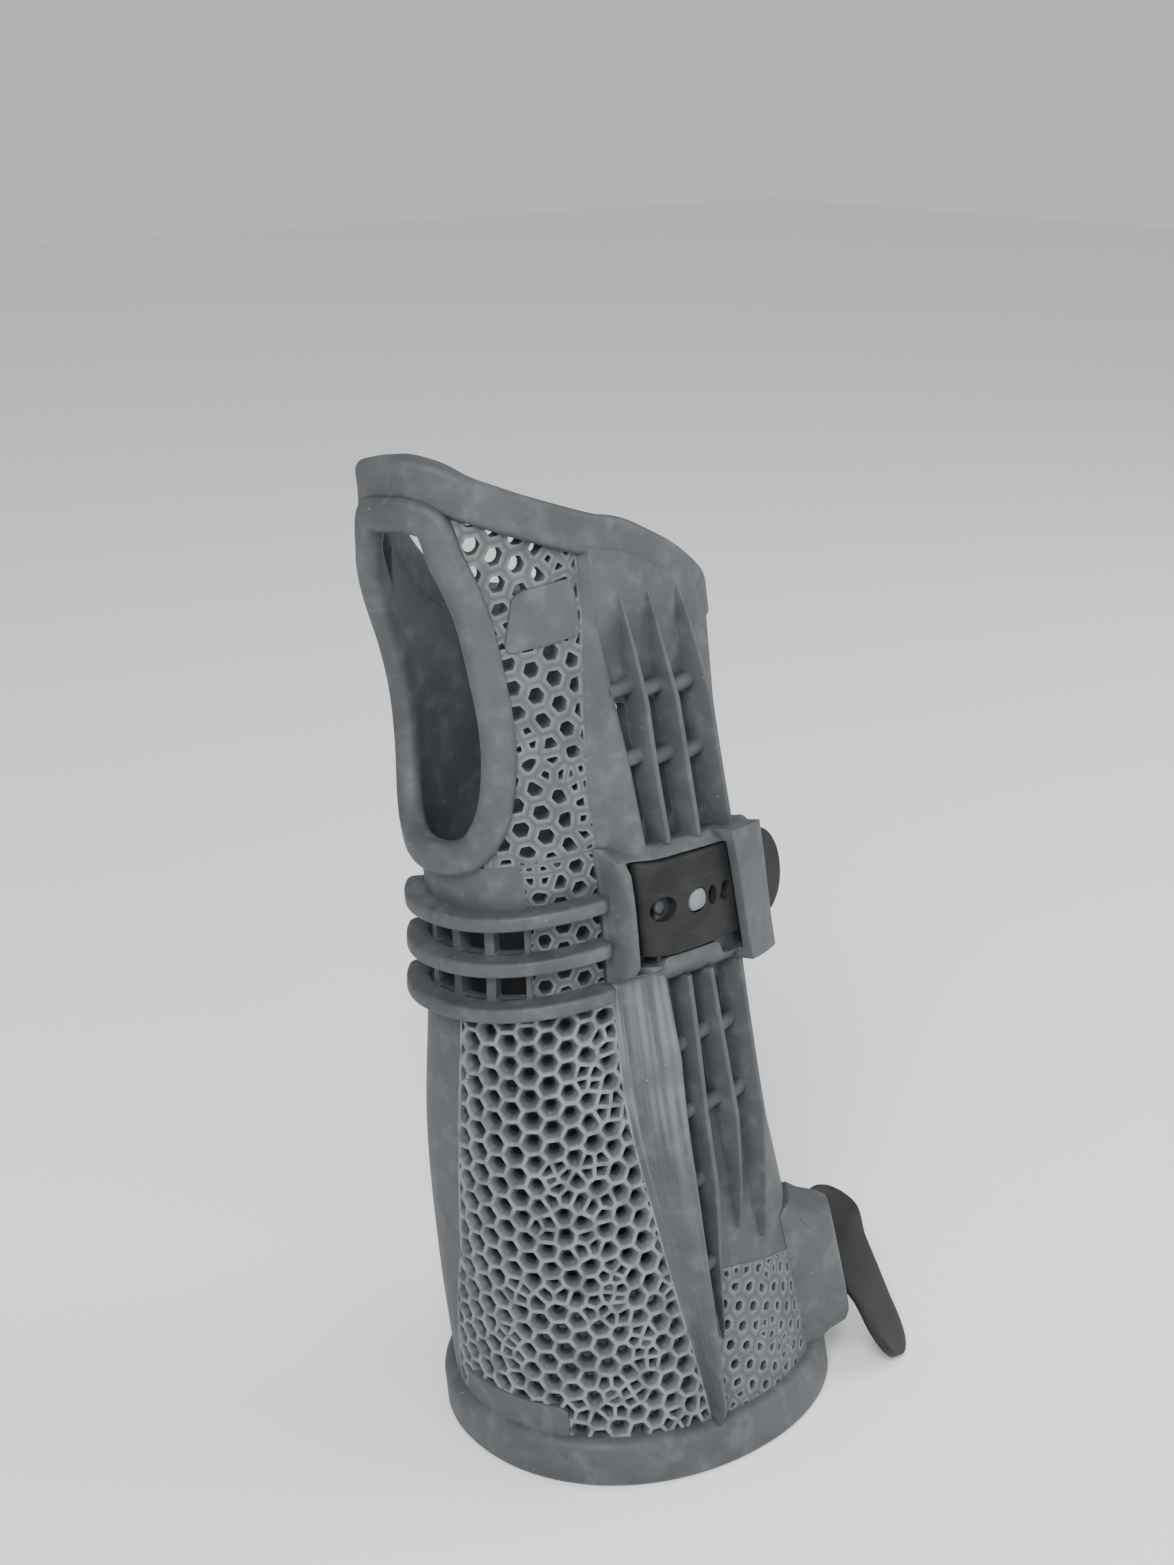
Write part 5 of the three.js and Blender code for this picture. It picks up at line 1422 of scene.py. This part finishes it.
def centripetal(points, count):
    """A smooth line through points whose speed eases at close ones."""
    points = np.asarray(points, float)
    before = 2 * points[0] - points[1]
    after = 2 * points[-1] - points[-2]
    padded = np.vstack([before, points, after])
    out = []
    for share in np.arange(count + 1) / count * (len(points) - 1):
        i = min(int(share), len(points) - 2)
        t = share - i
        p = padded[i:i + 4]
        gaps = [max(np.linalg.norm(p[k + 1][:3] - p[k][:3]) ** 0.5, 1e-4) for k in range(3)]
        d0, d1, d2 = gaps
        m1 = (p[1] - p[0]) / d0 - (p[2] - p[0]) / (d0 + d1) + (p[2] - p[1]) / d1
        m2 = (p[2] - p[1]) / d1 - (p[3] - p[1]) / (d1 + d2) + (p[3] - p[2]) / d2
        m1, m2 = m1 * d1, m2 * d1
        out.append((2 * t**3 - 3 * t**2 + 1) * p[1] + (t**3 - 2 * t**2 + t) * m1
                   + (3 * t**2 - 2 * t**3) * p[2] + (t**3 - t**2) * m2)
    return np.array(out)


def strap(name, belt, route):
    """A flat rubber band with rounded edges and a round free end, along a route."""
    turn, out, drop, twist = centripetal(route, STRAP_STEPS).T
    twist = np.clip(twist, 0, 1)
    level = strap_level(belt, turn) - drop
    middle = skin(turn, level, out)
    along = unit(np.gradient(middle, axis=0))
    wide = unit(skin(turn, level + STRAP_WIDTH / 2, out) - skin(turn, level - STRAP_WIDTH / 2, out))
    wide = wide + (HANGING_WIDTH - wide) * twist[:, None]
    wide = unit(np.where(twist[:, None] > 0, wide - along * (along * wide).sum(1)[:, None], wide))
    thick = unit(np.cross(along, wide))
    length = np.concatenate([[0], np.cumsum(np.linalg.norm(np.diff(middle, axis=0), axis=1))])
    left = (length[-1] - length) / (STRAP_WIDTH * 0.42)
    half = STRAP_WIDTH / 2 * np.sqrt(np.clip(1 - np.clip(1 - left, 0, 1) ** 2.4, 0.02, 1))
    lines, flow = [], []
    section = [(-1, -0.45), (-0.985, -0.8), (-0.93, -1), (-0.6, -1), (-0.2, -1), (0.2, -1), (0.6, -1),
               (0.93, -1), (0.985, -0.8), (1, -0.45), (1, 0.45), (0.985, 0.8), (0.93, 1), (0.6, 1),
               (0.2, 1), (-0.2, 1), (-0.6, 1), (-0.93, 1), (-0.985, 0.8), (-1, 0.45)]
    for across, up in section:
        lines.append(stand(middle + wide * (half * across)[:, None]
                           + thick * (STRAP_THICKNESS / 2 * up)))
        flow.append(np.column_stack([length, half * across]) * MM)
    return from_lines(name, lines, RUBBER, np.swapaxes(np.array(flow), 0, 1).reshape(-1, 2))


def strap_hole(turn, radius_round, radius_along, low, high):
    level = float(strap_level(WRIST_BELT, turn))
    degrees = float(degrees_per_mm(turn, level))
    loop = [(turn + radius_round * math.cos(a) * degrees, level + radius_along * math.sin(a))
            for a in np.linspace(0, 2 * math.pi, 28, endpoint=False)]
    return plug(loop, low, high, RUBBER)


HOLE_RADIUS = PEG_DIAMETER / 2 + FIT
# The strap's holes: distance from the peg, half the width round the forearm, half the height along it
STRAP_HOLES = [(0.0, HOLE_RADIUS, HOLE_RADIUS), (-PEG_PITCH, HOLE_RADIUS + 0.2, HOLE_RADIUS),
               (PEG_PITCH * 0.52, 1.4, HOLE_RADIUS * 0.8), (PEG_PITCH, 2.0, HOLE_RADIUS * 0.8)]
wrist_strap = strap("wrist_strap", WRIST_BELT, WRIST_ROUTE)
cut(wrist_strap, [strap_hole(float(turn_at_distance(PEG_TURN, PEG_LEVEL, gap)), across, along, BED_TOP - 0.1,
                             KEEPER_UNDER + 4) for gap, across, along in STRAP_HOLES])
keep(crisp(wrist_strap, 50), "wrist_strap", slot="strap")
cuff_strap = strap("cuff_strap", CUFF_BELT, CUFF_ROUTE)
keep(crisp(cuff_strap, 50), "cuff_strap", slot="strap")

# The peg is round with a touch of square, and its top edge is rounded
PEG_TOP = OVER_STRAP + STRAP_THICKNESS
peg_angles = np.linspace(0, 2 * math.pi, 32, endpoint=False)
peg_across, peg_along = np.cos(peg_angles), np.sin(peg_angles)
peg_square = (np.abs(peg_across) ** 3 + np.abs(peg_along) ** 3) ** (1 / 3)
peg_degrees = float(degrees_per_mm(PEG_TURN, PEG_LEVEL))
peg_rings = []
for out, share in ((BED_TOP - 0.2, 1.0), (OVER_STRAP + 0.4, 0.98), (PEG_TOP - 0.7, 0.94),
                   (PEG_TOP - 0.2, 0.84), (PEG_TOP, 0.6)):
    reach = PEG_DIAMETER / 2 * share / peg_square
    peg_rings.append(place(PEG_TURN + reach * peg_across * peg_degrees, PEG_LEVEL + reach * peg_along, out))
keep(crisp(loft("wrist_peg", peg_rings, PEG), 60), "wrist_peg", slot="peg")


# Floor, light and camera

def stage_material(name, colour, roughness):
    s = Shader(name)
    mottle = s.noise(s.place(), 0.5, 2)
    return s.finish(s.mix(mottle, colour, tuple(c * 0.985 for c in colour)), roughness + mottle * 0.02)


FLOOR_HALF = 3.0
floor_corners = [(x * FLOOR_HALF, y * FLOOR_HALF, 0) for x, y in ((-1, -1), (1, -1), (1, 1), (-1, 1))]
floor = mesh_object("floor", floor_corners, [(0, 1, 2, 3)],
                    stage_material("pale_floor", (0.9, 0.9, 0.9), 0.7))

world = bpy.data.worlds.new("studio")
world.use_nodes = True
world.node_tree.nodes["Background"].inputs["Color"].default_value = (1, 1, 1, 1)
world.node_tree.nodes["Background"].inputs["Strength"].default_value = 0.62
bpy.context.scene.world = world

AZIMUTH, ELEVATION, DISTANCE = math.radians(-40), math.radians(19), 505.0
AIM_RIGHT, AIM_UP = -20.0, 160.0
right = Vector((math.cos(AZIMUTH), math.sin(AZIMUTH), 0))
back = Vector((math.sin(AZIMUTH) * math.cos(ELEVATION), -math.cos(AZIMUTH) * math.cos(ELEVATION),
               math.sin(ELEVATION)))
above = back.cross(right)
aim = (right * AIM_RIGHT + Vector((0, 0, AIM_UP)) + Vector(STAND)) * MM
camera_data = bpy.data.cameras.new("camera")
camera_data.lens, camera_data.sensor_width = 50, 36
camera_data.clip_start = 0.01
camera = bpy.data.objects.new("camera", camera_data)
camera.matrix_world = Matrix((
    (right.x, above.x, back.x, aim.x + back.x * DISTANCE * MM),
    (right.y, above.y, back.y, aim.y + back.y * DISTANCE * MM),
    (right.z, above.z, back.z, aim.z + back.z * DISTANCE * MM),
    (0, 0, 0, 1),
))
bpy.context.scene.collection.objects.link(camera)
bpy.context.scene.camera = camera


LAMP_TARGET = (0, 0, 0.12)


def lamp(name, spot, size, power):
    """A square lamp that points at the brace."""
    data = bpy.data.lights.new(name, "AREA")
    data.size, data.energy = size, power
    made = bpy.data.objects.new(name, data)
    way = Vector(spot) - Vector(LAMP_TARGET)
    made.matrix_world = Matrix.Translation(spot) @ way.to_track_quat("Z", "Y").to_matrix().to_4x4()
    bpy.context.scene.collection.objects.link(made)


lamp("key", (-0.9, -0.75, 1.1), 0.6, 30)
lamp("side", (0.9, -0.5, 0.7), 0.8, 9)
lamp("front", (-0.2, -1.3, 0.5), 0.8, 6)
